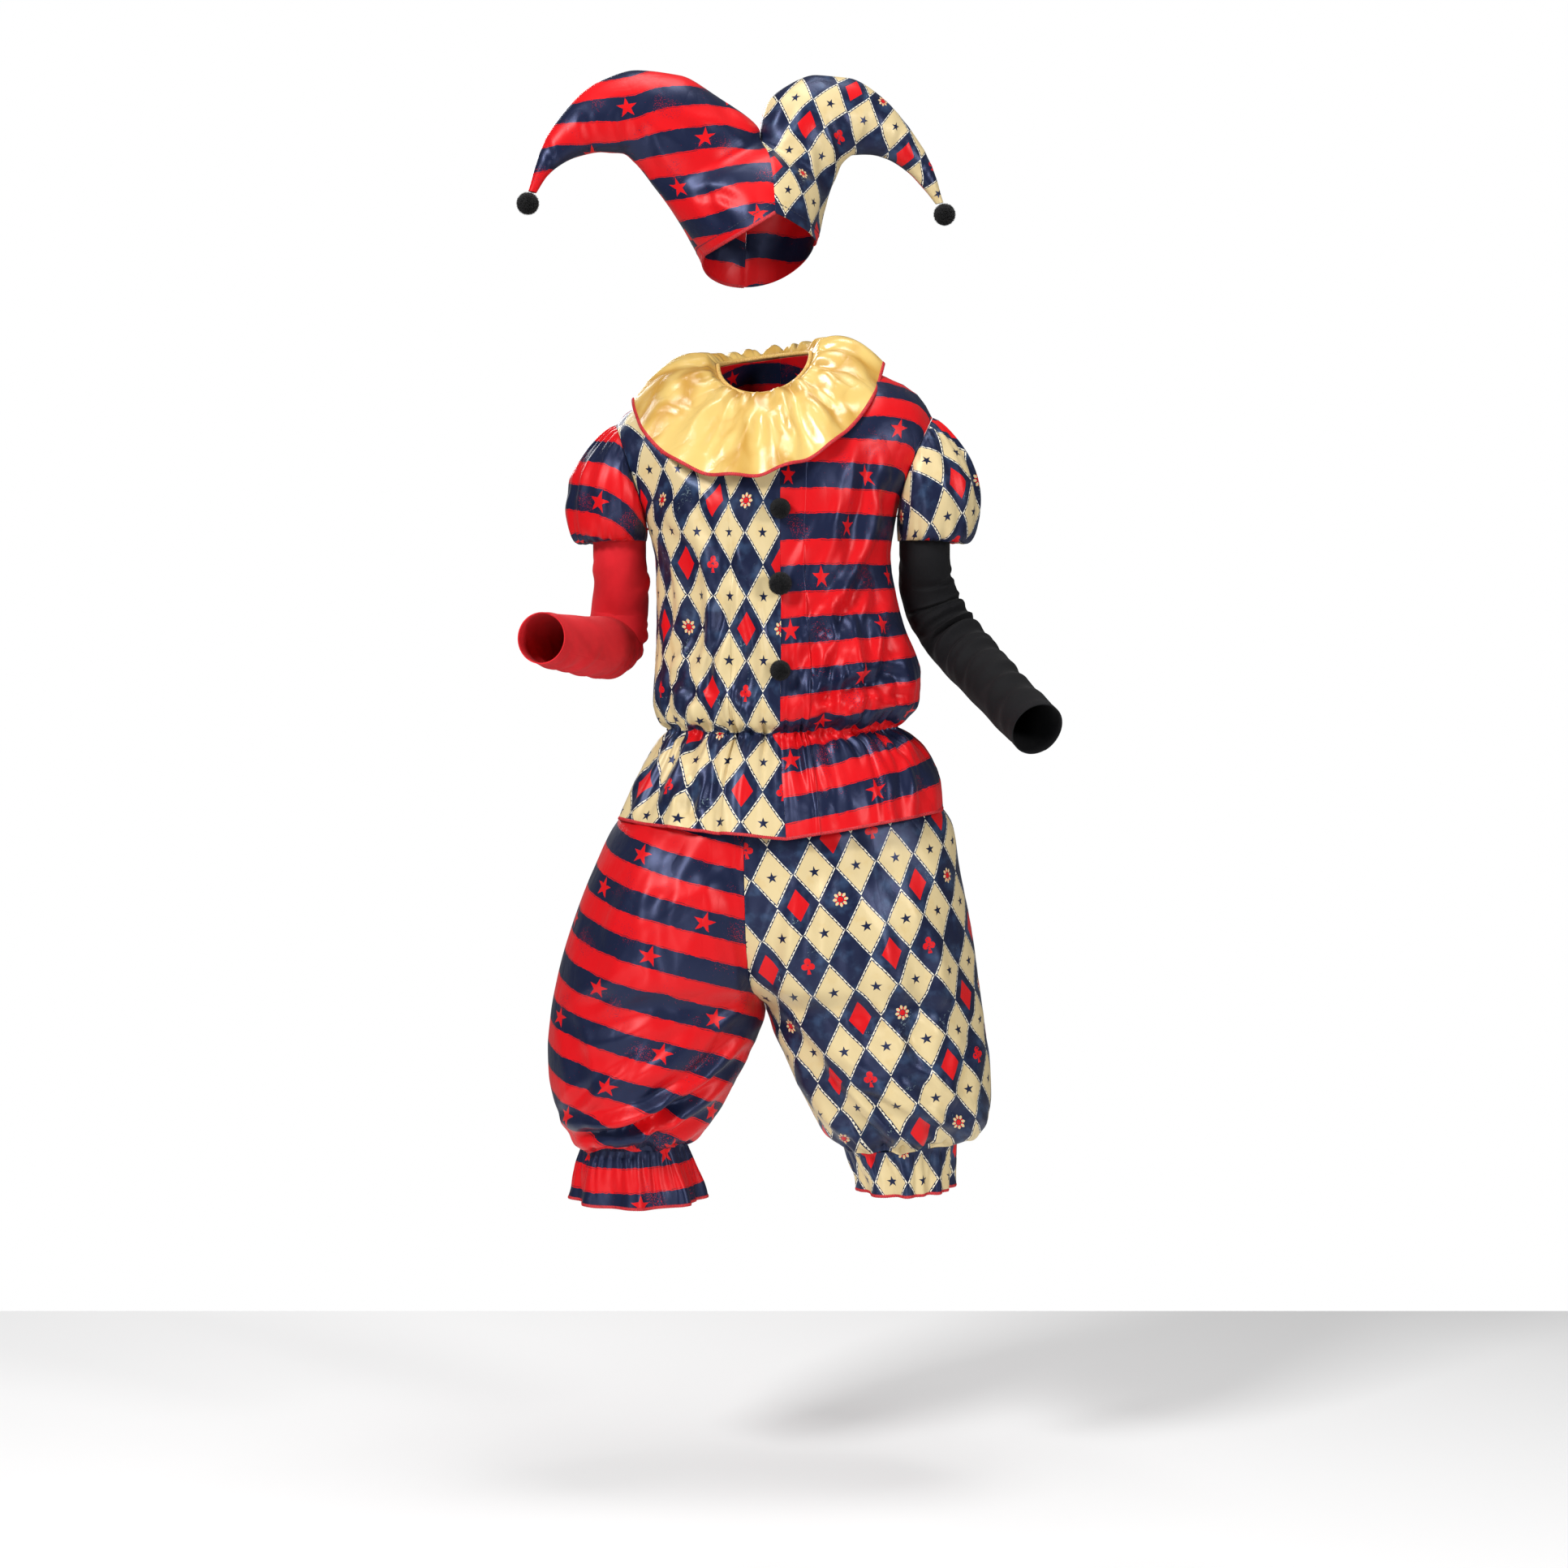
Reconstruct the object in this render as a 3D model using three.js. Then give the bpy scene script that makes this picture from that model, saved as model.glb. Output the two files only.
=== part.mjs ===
// Jester costume: two-horned hat, ruff collar, top with puff sleeves and long under-sleeves, bloomers.
// Millimetres, +Z up, the front looks along -Y. Left and right are as the viewer sees them.
// The origin lies between the shoulders, at the height where the neck comes out of the ruff.
import * as THREE from 'three';

// Cloth and seams
const satinWall = 1.5;
const knitWall = 1.8;
const collarWall = 1.2;
const hatWall = 2;
const seamGap = 0.3;

// Hat
const hatTurn = THREE.MathUtils.degToRad(13);
const hatMiddleX = -24.6;
const hatPompomRadius = 16.4;
const hornTipRadius = 2;
const hatColumns = 6;
const HAT_ROWS = { left: 16, right: 18 };

// Neck and collar
const neckMiddle = { x: -18, y: -3 };
const neckHalfWidth = 63.5;
const neckHalfDepth = 60;
const neckSideHeight = 34;
const neckFrontDrop = 52;
const neckBackRise = 8;
const neckLean = 0.134;
const collarMiddleX = -27;
const collarHalfWidth = 172;
const collarFrontReach = 137;
const collarBackReach = 128;
const collarSideHeight = 1;
const collarFrontDrop = 135;
const collarBackDrop = 21;
const collarWaves = 14;
const collarWaveHeight = 9;
const collarFrontDropPower = 1.2;
const collarSagPower = 1.3;
const collarLift = 10;
const collarColumns = 70;
const collarRows = 4;
const bindingRadius = 3;
const bindingSides = 6;
const bindingSegments = 36;

// Top
const necklineClearance = 3;
const necklineDrop = 5;
const shoulderRounding = 190;
const sectionFullness = 0.35;
const topGathersPerPanel = 3;
const neckBackHump = 60;
const necklineShapingStart = 0.55;
const topColumns = 12;
const topRows = 16;
const NECK_COLUMNS = { left: 4, right: 3 };

// Sleeves
const sleeveBand = { z: -215, radius: 37.2 };
const underSleeveTop = -209;
const underSleeveBelowBand = -236;
const underSleeveRadius = 35;
const sleeveGap = 0.6;
const puffOuter = 50;
const puffInner = 0.5;
const puffBlouse = 16;
const puffGathers = 7;
const puffGatherHeight = 4;
const puffColumns = 28;
const puffRows = 7;
const underSleeveColumns = 14;
const underSleeveRows = 12;

// Pompoms
const pompomDetail = 2;
const buttonClearance = 1;
const buttonX = 4;

// Bloomers
const legGathersPerPanel = 3;
const legColumns = 12;
const legRows = 16;

// Frilled cuffs
const frillWaves = 8;
const frillColumns = 40;
const frillRows = 3;

const COLOURS = {
  stripe: 0xd81f26,
  lozenge: 0xdec896,
  gold: 0xebc369,
  redKnit: 0xd7202a,
  blackKnit: 0x101014,
  pompom: 0x0c0c10,
};

const FINISH = {
  stripe: { colour: COLOURS.stripe, roughness: 0.35 },
  lozenge: { colour: COLOURS.lozenge, roughness: 0.38 },
  gold: { colour: COLOURS.gold, roughness: 0.28 },
  redKnit: { colour: COLOURS.redKnit, roughness: 0.8 },
  blackKnit: { colour: COLOURS.blackKnit, roughness: 0.8 },
  pompom: { colour: COLOURS.pompom, roughness: 0.95 },
};

// Horns of the hat, seen square from the front: one row for each line across the horn, brim to tip.
// topX, topZ lie on the centre seam and then on the upper edge; underX, underZ on the lower edge.
// seam is the half depth at the centre seam, belly the half depth in the middle of the horn.
const HORNS = {
  left: [
    { topX: 0, frontZ: 221, backZ: 143, underX: -77, underZ: 174, seam: 100, belly: 0 },
    { topX: 0, frontZ: 262, backZ: 212, underX: -101, underZ: 203, seam: 88, belly: 22 },
    { topX: 0, frontZ: 303, backZ: 282, underX: -125, underZ: 237, seam: 62, belly: 38 },
    { topX: 0, frontZ: 343, backZ: 343, underX: -149, underZ: 268, seam: 0, belly: 47 },
    { topX: -58, frontZ: 388, backZ: 388, underX: -173, underZ: 297, seam: 0, belly: 45 },
    { topX: -112, frontZ: 416, backZ: 416, underX: -191, underZ: 308, seam: 0, belly: 41 },
    { topX: -169, frontZ: 421, backZ: 421, underX: -218, underZ: 309, seam: 0, belly: 36 },
    { topX: -226, frontZ: 402, backZ: 402, underX: -250, underZ: 302, seam: 0, belly: 31 },
    { topX: -271, frontZ: 362, backZ: 362, underX: -276, underZ: 289, seam: 0, belly: 24 },
    { topX: -302, frontZ: 313, backZ: 313, underX: -293, underZ: 274, seam: 0, belly: 15 },
    { topX: -320, frontZ: 254, backZ: 254, underX: -308, underZ: 251, seam: 0, belly: 5 },
  ],
  right: [
    { topX: 0, frontZ: 221, backZ: 143, underX: 77, underZ: 190, seam: 100, belly: 0 },
    { topX: 0, frontZ: 262, backZ: 212, underX: 86, underZ: 219, seam: 88, belly: 20 },
    { topX: 0, frontZ: 303, backZ: 282, underX: 93, underZ: 247, seam: 62, belly: 34 },
    { topX: 0, frontZ: 343, backZ: 343, underX: 101, underZ: 271, seam: 0, belly: 42 },
    { topX: 10, frontZ: 383, backZ: 383, underX: 109, underZ: 289, seam: 0, belly: 43 },
    { topX: 38, frontZ: 408, backZ: 408, underX: 117, underZ: 304, seam: 0, belly: 41 },
    { topX: 78, frontZ: 424, backZ: 424, underX: 134, underZ: 317, seam: 0, belly: 38 },
    { topX: 124, frontZ: 422, backZ: 422, underX: 158, underZ: 318, seam: 0, belly: 34 },
    { topX: 171, frontZ: 398, backZ: 398, underX: 184, underZ: 312, seam: 0, belly: 28 },
    { topX: 211, frontZ: 357, backZ: 357, underX: 211, underZ: 296, seam: 0, belly: 21 },
    { topX: 241, frontZ: 313, backZ: 313, underX: 233, underZ: 274, seam: 0, belly: 13 },
    { topX: 262, frontZ: 256, backZ: 256, underX: 250, underZ: 253, seam: 0, belly: 5 },
  ],
};
const hornValleyRow = 3;

// Shoulder line of the top, from the left shoulder tip to the right one
const SHOULDER_LINE = [
  { x: -222, z: -56 },
  { x: -208, z: -41 },
  { x: -193, z: -31 },
  { x: -150, z: -8 },
  { x: -84, z: 20.5 },
  { x: -18, z: 29 },
  { x: 48, z: 37.5 },
  { x: 100, z: 28 },
  { x: 145, z: 11 },
  { x: 173, z: 0 },
  { x: 192, z: -14 },
  { x: 204, z: -30 },
  { x: 213, z: -46 },
];

// Half sections of the top, hem to shoulder. seamX is the centre seam, sideX, sideZ the side seam
// and then the armhole; front and back are the depths at the centre seams, arm is the half depth
// of the armhole, and gather is how far the gathers stand out.
const TOP = {
  left: [
    { seamX: 12, frontZ: -618, backZ: -612, sideX: -219, sideZ: -597, front: 154, back: 150, arm: 0, gather: 6 },
    { seamX: 9, frontZ: -575, backZ: -570, sideX: -206, sideZ: -565, front: 146, back: 140, arm: 0, gather: 5 },
    { seamX: 6, frontZ: -530, backZ: -526, sideX: -184, sideZ: -522, front: 132, back: 124, arm: 0, gather: 5 },
    { seamX: 5, frontZ: -495, backZ: -492, sideX: -163, sideZ: -488, front: 113, back: 103, arm: 0, gather: 4 },
    { seamX: 4, frontZ: -478, backZ: -476, sideX: -152, sideZ: -474, front: 104, back: 93, arm: 0, gather: 3 },
    { seamX: 4, frontZ: -466, backZ: -465, sideX: -163, sideZ: -463, front: 117, back: 107, arm: 0, gather: 5 },
    { seamX: 4, frontZ: -438, backZ: -438, sideX: -172, sideZ: -436, front: 128, back: 118, arm: 0, gather: 4 },
    { seamX: 5, frontZ: -385, backZ: -385, sideX: -169, sideZ: -385, front: 127, back: 118, arm: 0, gather: 2 },
    { seamX: 5, frontZ: -315, backZ: -315, sideX: -167, sideZ: -317, front: 124, back: 118, arm: 0, gather: 0 },
    { seamX: 4, frontZ: -245, backZ: -240, sideX: -168, sideZ: -250, front: 122, back: 120, arm: 0, gather: 0 },
    { seamX: 4, frontZ: -192, backZ: -180, sideX: -178, sideZ: -199, front: 121, back: 120, arm: 0, gather: 0 },
    { seamX: 4, frontZ: -146, backZ: -128, sideX: -189, sideZ: -155, front: 120, back: 120, arm: 46, gather: 0 },
    { seamX: 4, frontZ: -102, backZ: -72, sideX: -204, sideZ: -108, front: 120, back: 120, arm: 52, gather: 0 },
    { seamX: 4, frontZ: -60, backZ: -16, sideX: -215, sideZ: -74, front: 120, back: 120, arm: 34, gather: 0 },
    { seamX: 4, frontZ: -23, backZ: 37, sideX: -222, sideZ: -56, front: 120, back: 120, arm: 0, gather: 0 },
  ],
  right: [
    { seamX: 12, frontZ: -618, backZ: -612, sideX: 229, sideZ: -584, front: 154, back: 150, arm: 0, gather: 6 },
    { seamX: 9, frontZ: -575, backZ: -570, sideX: 226, sideZ: -547, front: 146, back: 140, arm: 0, gather: 5 },
    { seamX: 6, frontZ: -530, backZ: -526, sideX: 212, sideZ: -511, front: 132, back: 124, arm: 0, gather: 5 },
    { seamX: 5, frontZ: -495, backZ: -492, sideX: 189, sideZ: -484, front: 113, back: 103, arm: 0, gather: 4 },
    { seamX: 4, frontZ: -478, backZ: -476, sideX: 166, sideZ: -470, front: 104, back: 93, arm: 0, gather: 3 },
    { seamX: 4, frontZ: -466, backZ: -465, sideX: 180, sideZ: -459, front: 117, back: 107, arm: 0, gather: 5 },
    { seamX: 4, frontZ: -438, backZ: -438, sideX: 196, sideZ: -436, front: 128, back: 118, arm: 0, gather: 4 },
    { seamX: 5, frontZ: -385, backZ: -385, sideX: 198, sideZ: -395, front: 127, back: 118, arm: 0, gather: 2 },
    { seamX: 5, frontZ: -315, backZ: -315, sideX: 172, sideZ: -322, front: 124, back: 118, arm: 0, gather: 0 },
    { seamX: 4, frontZ: -245, backZ: -240, sideX: 156, sideZ: -240, front: 122, back: 120, arm: 0, gather: 0 },
    { seamX: 4, frontZ: -192, backZ: -180, sideX: 164, sideZ: -181, front: 121, back: 120, arm: 0, gather: 0 },
    { seamX: 4, frontZ: -146, backZ: -128, sideX: 173, sideZ: -140, front: 120, back: 120, arm: 44, gather: 0 },
    { seamX: 4, frontZ: -102, backZ: -72, sideX: 189, sideZ: -97, front: 120, back: 120, arm: 50, gather: 0 },
    { seamX: 4, frontZ: -60, backZ: -16, sideX: 204, sideZ: -65, front: 120, back: 120, arm: 33, gather: 0 },
    { seamX: 4, frontZ: -23, backZ: 37, sideX: 213, sideZ: -46, front: 120, back: 120, arm: 0, gather: 0 },
  ],
};
const underarmRow = 10;

// Bloomers, waist to knee: innerX, innerZ are the centre seam down to the crotch, then the inseam.
// seam is the half depth at the centre seam and leg the half depth in the middle of the leg.
const LEGS = {
  left: [
    { innerX: -34, innerZ: -505, outerX: -148, outerZ: -504, seam: 92, leg: 30, gather: 3 },
    { innerX: -40, innerZ: -562, outerX: -184, outerZ: -556, seam: 116, leg: 34, gather: 3 },
    { innerX: -45, innerZ: -630, outerX: -228.4, outerZ: -612, seam: 133, leg: 46, gather: 0 },
    { innerX: -44, innerZ: -700, outerX: -257, outerZ: -674, seam: 135, leg: 84, gather: 0 },
    { innerX: -42, innerZ: -765, outerX: -283, outerZ: -742, seam: 122, leg: 106, gather: 0 },
    { innerX: -36, innerZ: -822, outerX: -303, outerZ: -810, seam: 92, leg: 122, gather: 0 },
    { innerX: -16, innerZ: -862, outerX: -314, outerZ: -868, seam: 0, leg: 130, gather: 0 },
    { innerX: -26, innerZ: -896, outerX: -318, outerZ: -912, seam: 0, leg: 131, gather: 0 },
    { innerX: -44, innerZ: -934, outerX: -317, outerZ: -950, seam: 0, leg: 130, gather: 0 },
    { innerX: -63, innerZ: -972, outerX: -311, outerZ: -984, seam: 0, leg: 125, gather: 1 },
    { innerX: -83, innerZ: -1007, outerX: -300, outerZ: -1014, seam: 0, leg: 114, gather: 4 },
    { innerX: -107, innerZ: -1036, outerX: -286, outerZ: -1040, seam: 0, leg: 95, gather: 5 },
    { innerX: -126, innerZ: -1046, outerX: -272, outerZ: -1050, seam: 0, leg: 72, gather: 3 },
  ],
  right: [
    { innerX: -34, innerZ: -505, outerX: 162, outerZ: -500, seam: 92, leg: 30, gather: 3 },
    { innerX: -40, innerZ: -562, outerX: 196, outerZ: -548, seam: 116, leg: 34, gather: 3 },
    { innerX: -45, innerZ: -630, outerX: 242, outerZ: -606, seam: 133, leg: 46, gather: 0 },
    { innerX: -44, innerZ: -700, outerX: 252, outerZ: -668, seam: 135, leg: 84, gather: 0 },
    { innerX: -42, innerZ: -765, outerX: 267, outerZ: -740, seam: 122, leg: 106, gather: 0 },
    { innerX: -36, innerZ: -822, outerX: 278, outerZ: -815, seam: 92, leg: 122, gather: 0 },
    { innerX: -16, innerZ: -862, outerX: 286, outerZ: -876, seam: 0, leg: 130, gather: 0 },
    { innerX: -4, innerZ: -895, outerX: 291, outerZ: -912, seam: 0, leg: 131, gather: 0 },
    { innerX: 13, innerZ: -932, outerX: 295, outerZ: -946, seam: 0, leg: 130, gather: 0 },
    { innerX: 30, innerZ: -968, outerX: 296, outerZ: -980, seam: 0, leg: 125, gather: 1 },
    { innerX: 47, innerZ: -1004, outerX: 292, outerZ: -1010, seam: 0, leg: 114, gather: 4 },
    { innerX: 67, innerZ: -1037, outerX: 277, outerZ: -1034, seam: 0, leg: 95, gather: 5 },
    { innerX: 92, innerZ: -1054, outerX: 250, outerZ: -1043, seam: 0, leg: 72, gather: 3 },
  ],
};
const crotchRow = 6;

// Frilled cuffs, gathering line to hem; tilt is the rise of the ring towards +X
const FRILLS = {
  left: [
    { x: -199, z: -1048, across: 73, deep: 72, tilt: 0.027, wave: 1 },
    { x: -198, z: -1076, across: 84, deep: 80, tilt: 0.02, wave: 6 },
    { x: -195, z: -1104, across: 92, deep: 86, tilt: 0.01, wave: 9 },
    { x: -194, z: -1122, across: 96, deep: 90, tilt: 0, wave: 11 },
  ],
  right: [
    { x: 171, z: -1048.5, across: 79, deep: 72, tilt: 0.07, wave: 1 },
    { x: 174, z: -1070, across: 76, deep: 72, tilt: 0.06, wave: 5 },
    { x: 177, z: -1090, across: 71, deep: 72, tilt: 0.05, wave: 7 },
    { x: 178, z: -1108, across: 69, deep: 72, tilt: 0.04, wave: 8 },
  ],
};
const frillGap = 1.2;

// Routes of the long under-sleeves below the puffs, from under the band to the cuff
const ARMS = {
  left: {
    start: { x: -218, y: 12 },
    route: [
      { x: -217, y: 26, z: -272, radius: 36.5 },
      { x: -220, y: 42, z: -316, radius: 38.5 },
      { x: -226, y: 38, z: -348, radius: 40 },
      { x: -240, y: 4, z: -360, radius: 40 },
      { x: -259, y: -48, z: -359, radius: 38.5 },
      { x: -284, y: -112, z: -355, radius: 36 },
      { x: -312, y: -184, z: -349, radius: 33 },
    ],
  },
  right: {
    start: { x: 203, y: 9 },
    route: [
      { x: 206, y: 26, z: -270, radius: 37.5 },
      { x: 216, y: 36, z: -304, radius: 39.5 },
      { x: 236, y: 30, z: -338, radius: 40.5 },
      { x: 262, y: 4, z: -372, radius: 40 },
      { x: 288, y: -42, z: -403, radius: 38.5 },
      { x: 316, y: -98, z: -436, radius: 37.5 },
      { x: 346, y: -162, z: -470, radius: 37.5 },
    ],
  },
};

// Pompom buttons on the centre front seam
const BUTTONS = [
  { z: -176, radius: 14.9 },
  { z: -276, radius: 16.8 },
  { z: -392, radius: 14.9 },
];

// Largest drag folds: soft troughs between two points of a panel, seen from the front
const FOLDS = {
  frontLeft: [
    { fromX: -120, fromZ: -250, toX: -128, toZ: -420, width: 16, depth: 5 },
    { fromX: -40, fromZ: -330, toX: -30, toZ: -440, width: 15, depth: 4 },
  ],
  frontRight: [
    { fromX: 140, fromZ: -245, toX: 70, toZ: -340, width: 18, depth: 5 },
    { fromX: 70, fromZ: -340, toX: 20, toZ: -440, width: 17, depth: 4 },
    { fromX: 170, fromZ: -400, toX: 80, toZ: -430, width: 16, depth: 5 },
  ],
  legLeft: [
    { fromX: -87, fromZ: -924, toX: -220, toZ: -1000, width: 20, depth: 6 },
    { fromX: -70, fromZ: -870, toX: -250, toZ: -930, width: 24, depth: 4 },
  ],
  legRight: [
    { fromX: 40, fromZ: -900, toX: 140, toZ: -1010, width: 22, depth: 5 },
    { fromX: 240, fromZ: -700, toX: 262, toZ: -900, width: 24, depth: 4 },
  ],
};

const TURN = 2 * Math.PI;
const mix = THREE.MathUtils.lerp;
const clamp = THREE.MathUtils.clamp;
const smoothstep = THREE.MathUtils.smoothstep;
const vector = (x, y, z) => new THREE.Vector3(x, y, z);

// Smooth value between the rows of a table that never swings past them
function between(before, first, second, after, share) {
  const slopes = [first - before, second - first, after - second];
  const tangent = (a, b) => (a * b <= 0 ? 0 : (2 * a * b) / (a + b));
  const leave = tangent(slopes[0], slopes[1]);
  const arrive = tangent(slopes[1], slopes[2]);
  const s2 = share * share;
  const s3 = s2 * share;
  return first * (2 * s3 - 3 * s2 + 1) + leave * (s3 - 2 * s2 + share)
    + second * (3 * s2 - 2 * s3) + arrive * (s3 - s2);
}

// All columns of a table at a place from 0, its first row, to 1, its last
function rowAt(table, place) {
  const last = table.length - 1;
  const position = clamp(place, 0, 1) * last;
  const index = Math.min(Math.floor(position), last - 1);
  const row = {};
  for (const column of Object.keys(table[0])) {
    const first = table[index][column];
    const second = table[index + 1][column];
    const before = index > 0 ? table[index - 1][column] : 2 * first - second;
    const after = index + 2 <= last ? table[index + 2][column] : 2 * second - first;
    row[column] = between(before, first, second, after, position - index);
  }
  return row;
}

// Height of the shoulder line above a place across the top
function shoulderHeight(x) {
  const last = SHOULDER_LINE.length - 1;
  const inside = clamp(x, SHOULDER_LINE[0].x, SHOULDER_LINE[last].x);
  const index = Math.min(SHOULDER_LINE.findIndex((point) => point.x >= inside), last);
  const end = Math.max(index, 1);
  const from = SHOULDER_LINE[end - 1];
  const to = SHOULDER_LINE[end];
  return mix(from.z, to.z, (inside - from.x) / (to.x - from.x));
}

// A grid of points, row by row
function gridOf(columns, rows, place) {
  return Array.from({ length: rows + 1 }, (_, row) => (
    Array.from({ length: columns + 1 }, (_, column) => place(column / columns, row / rows))
  ));
}

// Outward normals of a grid; a ring's last column is its first again
function normalsOf(grid, { ring, outward }) {
  const rows = grid.length - 1;
  const columns = grid[0].length - 1;
  const at = (row, column) => {
    const wrapped = ring ? (column + columns) % columns : clamp(column, 0, columns);
    return grid[clamp(row, 0, rows)][wrapped];
  };
  const raw = grid.map((line, row) => line.map((_, column) => {
    const across = vector().subVectors(at(row, column + 1), at(row, column - 1));
    const along = vector().subVectors(at(row + 1, column), at(row - 1, column));
    return across.cross(along).normalize();
  }));
  const middleRow = Math.floor(rows / 2);
  const middleColumn = Math.floor(columns / 2);
  const middle = raw[middleRow][middleColumn];
  const facing = middle.dot(outward(grid[middleRow][middleColumn])) < 0 ? -1 : 1;
  return raw.map((line) => line.map((normal) => normal.multiplyScalar(facing)));
}

// Moves a grid's points along its normals
function raise(grid, shape, height) {
  const normals = normalsOf(grid, shape);
  const rows = grid.length - 1;
  const columns = grid[0].length - 1;
  return grid.map((line, row) => line.map((point, column) => (
    point.clone().addScaledVector(normals[row][column], height(column / columns, row / rows, point))
  )));
}

// A closed wall of cloth: the grid is its outside, and the inside lies a thickness behind it
function wallGeometry(grid, shape, thickness) {
  const normals = normalsOf(grid, shape);
  const rows = grid.length - 1;
  const columns = grid[0].length - 1;
  const used = shape.ring ? columns : columns + 1;
  const seam = shape.seamNormal ?? ((normal) => normal);
  const positions = [];
  for (const depth of [0, thickness]) {
    for (let row = 0; row <= rows; row += 1) {
      for (let column = 0; column < used; column += 1) {
        const normal = seam(normals[row][column].clone(), column / columns, row / rows).normalize();
        const point = grid[row][column].clone().addScaledVector(normal, -depth);
        positions.push(point.x, point.y, point.z);
      }
    }
  }
  const inside = used * (rows + 1);
  const index = (row, column) => row * used + (column % used);
  const faces = [];
  const quad = (a, b, c, d) => faces.push(a, b, c, a, c, d);
  for (let row = 0; row < rows; row += 1) {
    for (let column = 0; column < columns; column += 1) {
      const corners = [
        index(row, column), index(row, column + 1), index(row + 1, column + 1), index(row + 1, column),
      ];
      quad(...corners);
      quad(...corners.map((corner) => corner + inside).reverse());
    }
  }
  for (let column = 0; column < columns; column += 1) {
    const [a, b] = [index(0, column), index(0, column + 1)];
    const [c, d] = [index(rows, column), index(rows, column + 1)];
    quad(b, a, a + inside, b + inside);
    quad(c, d, d + inside, c + inside);
  }
  if (!shape.ring) {
    for (let row = 0; row < rows; row += 1) {
      const [a, b] = [index(row, 0), index(row + 1, 0)];
      const [c, d] = [index(row, columns), index(row + 1, columns)];
      quad(a, b, b + inside, a + inside);
      quad(d, c, c + inside, d + inside);
    }
  }
  const geometry = new THREE.BufferGeometry();
  geometry.setAttribute('position', new THREE.Float32BufferAttribute(positions, 3));
  geometry.setIndex(volumeOf(positions, faces) < 0 ? faces.reverse() : faces);
  geometry.computeVertexNormals();
  return geometry;
}

function volumeOf(positions, faces) {
  const point = (index) => vector().fromArray(positions, index * 3);
  let volume = 0;
  for (let face = 0; face < faces.length; face += 3) {
    const [a, b, c] = [point(faces[face]), point(faces[face + 1]), point(faces[face + 2])];
    volume += a.dot(b.cross(c)) / 6;
  }
  return volume;
}

function piece(name, geometry, finish) {
  const material = new THREE.MeshStandardMaterial({
    color: finish.colour, roughness: finish.roughness, metalness: 0, side: THREE.DoubleSide,
  });
  const mesh = new THREE.Mesh(geometry, material);
  mesh.name = name;
  return mesh;
}

// Depth of a drag fold at a point
function troughs(folds, point) {
  return folds.reduce((total, fold) => {
    const runX = fold.toX - fold.fromX;
    const runZ = fold.toZ - fold.fromZ;
    const along = ((point.x - fold.fromX) * runX + (point.z - fold.fromZ) * runZ) / (runX ** 2 + runZ ** 2);
    const inside = clamp(along, 0, 1);
    const away = Math.hypot(point.x - fold.fromX - inside * runX, point.z - fold.fromZ - inside * runZ);
    return total - fold.depth * Math.exp(-((away / fold.width) ** 2));
  }, 0);
}

const facePart = { front: { y: -1 }, back: { y: 1 } };
const sidePart = { left: { x: -1 }, right: { x: 1 } };
const facesAway = (face) => () => vector(0, facePart[face].y, 0);

// Hat: four panels, each from the centre seam and the upper edge to the lower edge
function hatPanel(side, face, finish) {
  const table = HORNS[side];
  const outwardX = sidePart[side].x;
  const outwardY = facePart[face].y;
  const valley = hornValleyRow / (table.length - 1);
  const rows = HAT_ROWS[side];
  const place = (u, v) => {
    const row = rowAt(table, v);
    const w = (1 - Math.cos(Math.PI * u)) / 2;
    const seamZ = face === 'front' ? row.frontZ : row.backZ;
    const brimShape = face === 'front' ? 1 - w : Math.sqrt(1 - w * w);
    const rise = mix(brimShape, 1 - w, clamp(v / valley, 0, 1));
    const depth = Math.sqrt(row.seam ** 2 * (1 - w * w) + row.belly ** 2 * 4 * w * (1 - w));
    const seamX = row.topX + (v < valley + 0.001 ? outwardX * seamGap / 2 : 0);
    return vector(
      mix(seamX, row.underX, w),
      outwardY * (depth + seamGap / 2),
      row.underZ + (seamZ - row.underZ) * rise,
    );
  };
  const seamNormal = (normal, u, v) => {
    const flat = normal;
    if (u === 1 || (u === 0 && v > valley - 0.001)) {
      flat.y = 0;
    }
    if (u === 0 && v < valley + 0.001) {
      flat.x = 0;
    }
    return flat.lengthSq() > 0.01 ? flat : vector(0, 0, 1);
  };
  const rowPlaces = hornRowPlaces(rows, valley);
  const grid = gridOf(hatColumns, rows, (u, v) => place(u, rowPlaces(v)));
  const shape = {
    ring: false,
    outward: facesAway(face),
    seamNormal: (normal, u, v) => seamNormal(normal, u, rowPlaces(v)),
  };
  return piece(`hat_${face}_${side}`, wallGeometry(grid, shape, hatWall), finish);
}

// Rows of a hat panel: a quarter of them below the valley, so that one row meets it
function hornRowPlaces(rows, valley) {
  const below = Math.round(rows / 4) / rows;
  return (v) => (v < below ? (v / below) * valley : valley + ((v - below) / (1 - below)) * (1 - valley));
}

function hornTip(side) {
  const tip = HORNS[side][HORNS[side].length - 1];
  const before = HORNS[side][HORNS[side].length - 2];
  const end = vector((tip.topX + tip.underX) / 2, 0, (tip.frontZ + tip.underZ) / 2);
  const behind = vector((before.topX + before.underX) / 2, 0, (before.frontZ + before.underZ) / 2);
  const reach = Math.sqrt((hatPompomRadius + 2 * seamGap) ** 2 - hornTipRadius ** 2);
  return end.clone().addScaledVector(end.clone().sub(behind).normalize(), reach);
}

function pompom(name, radius, centre) {
  const mesh = piece(name, new THREE.IcosahedronGeometry(radius, pompomDetail), FINISH.pompom);
  mesh.position.copy(centre);
  return mesh;
}

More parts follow.
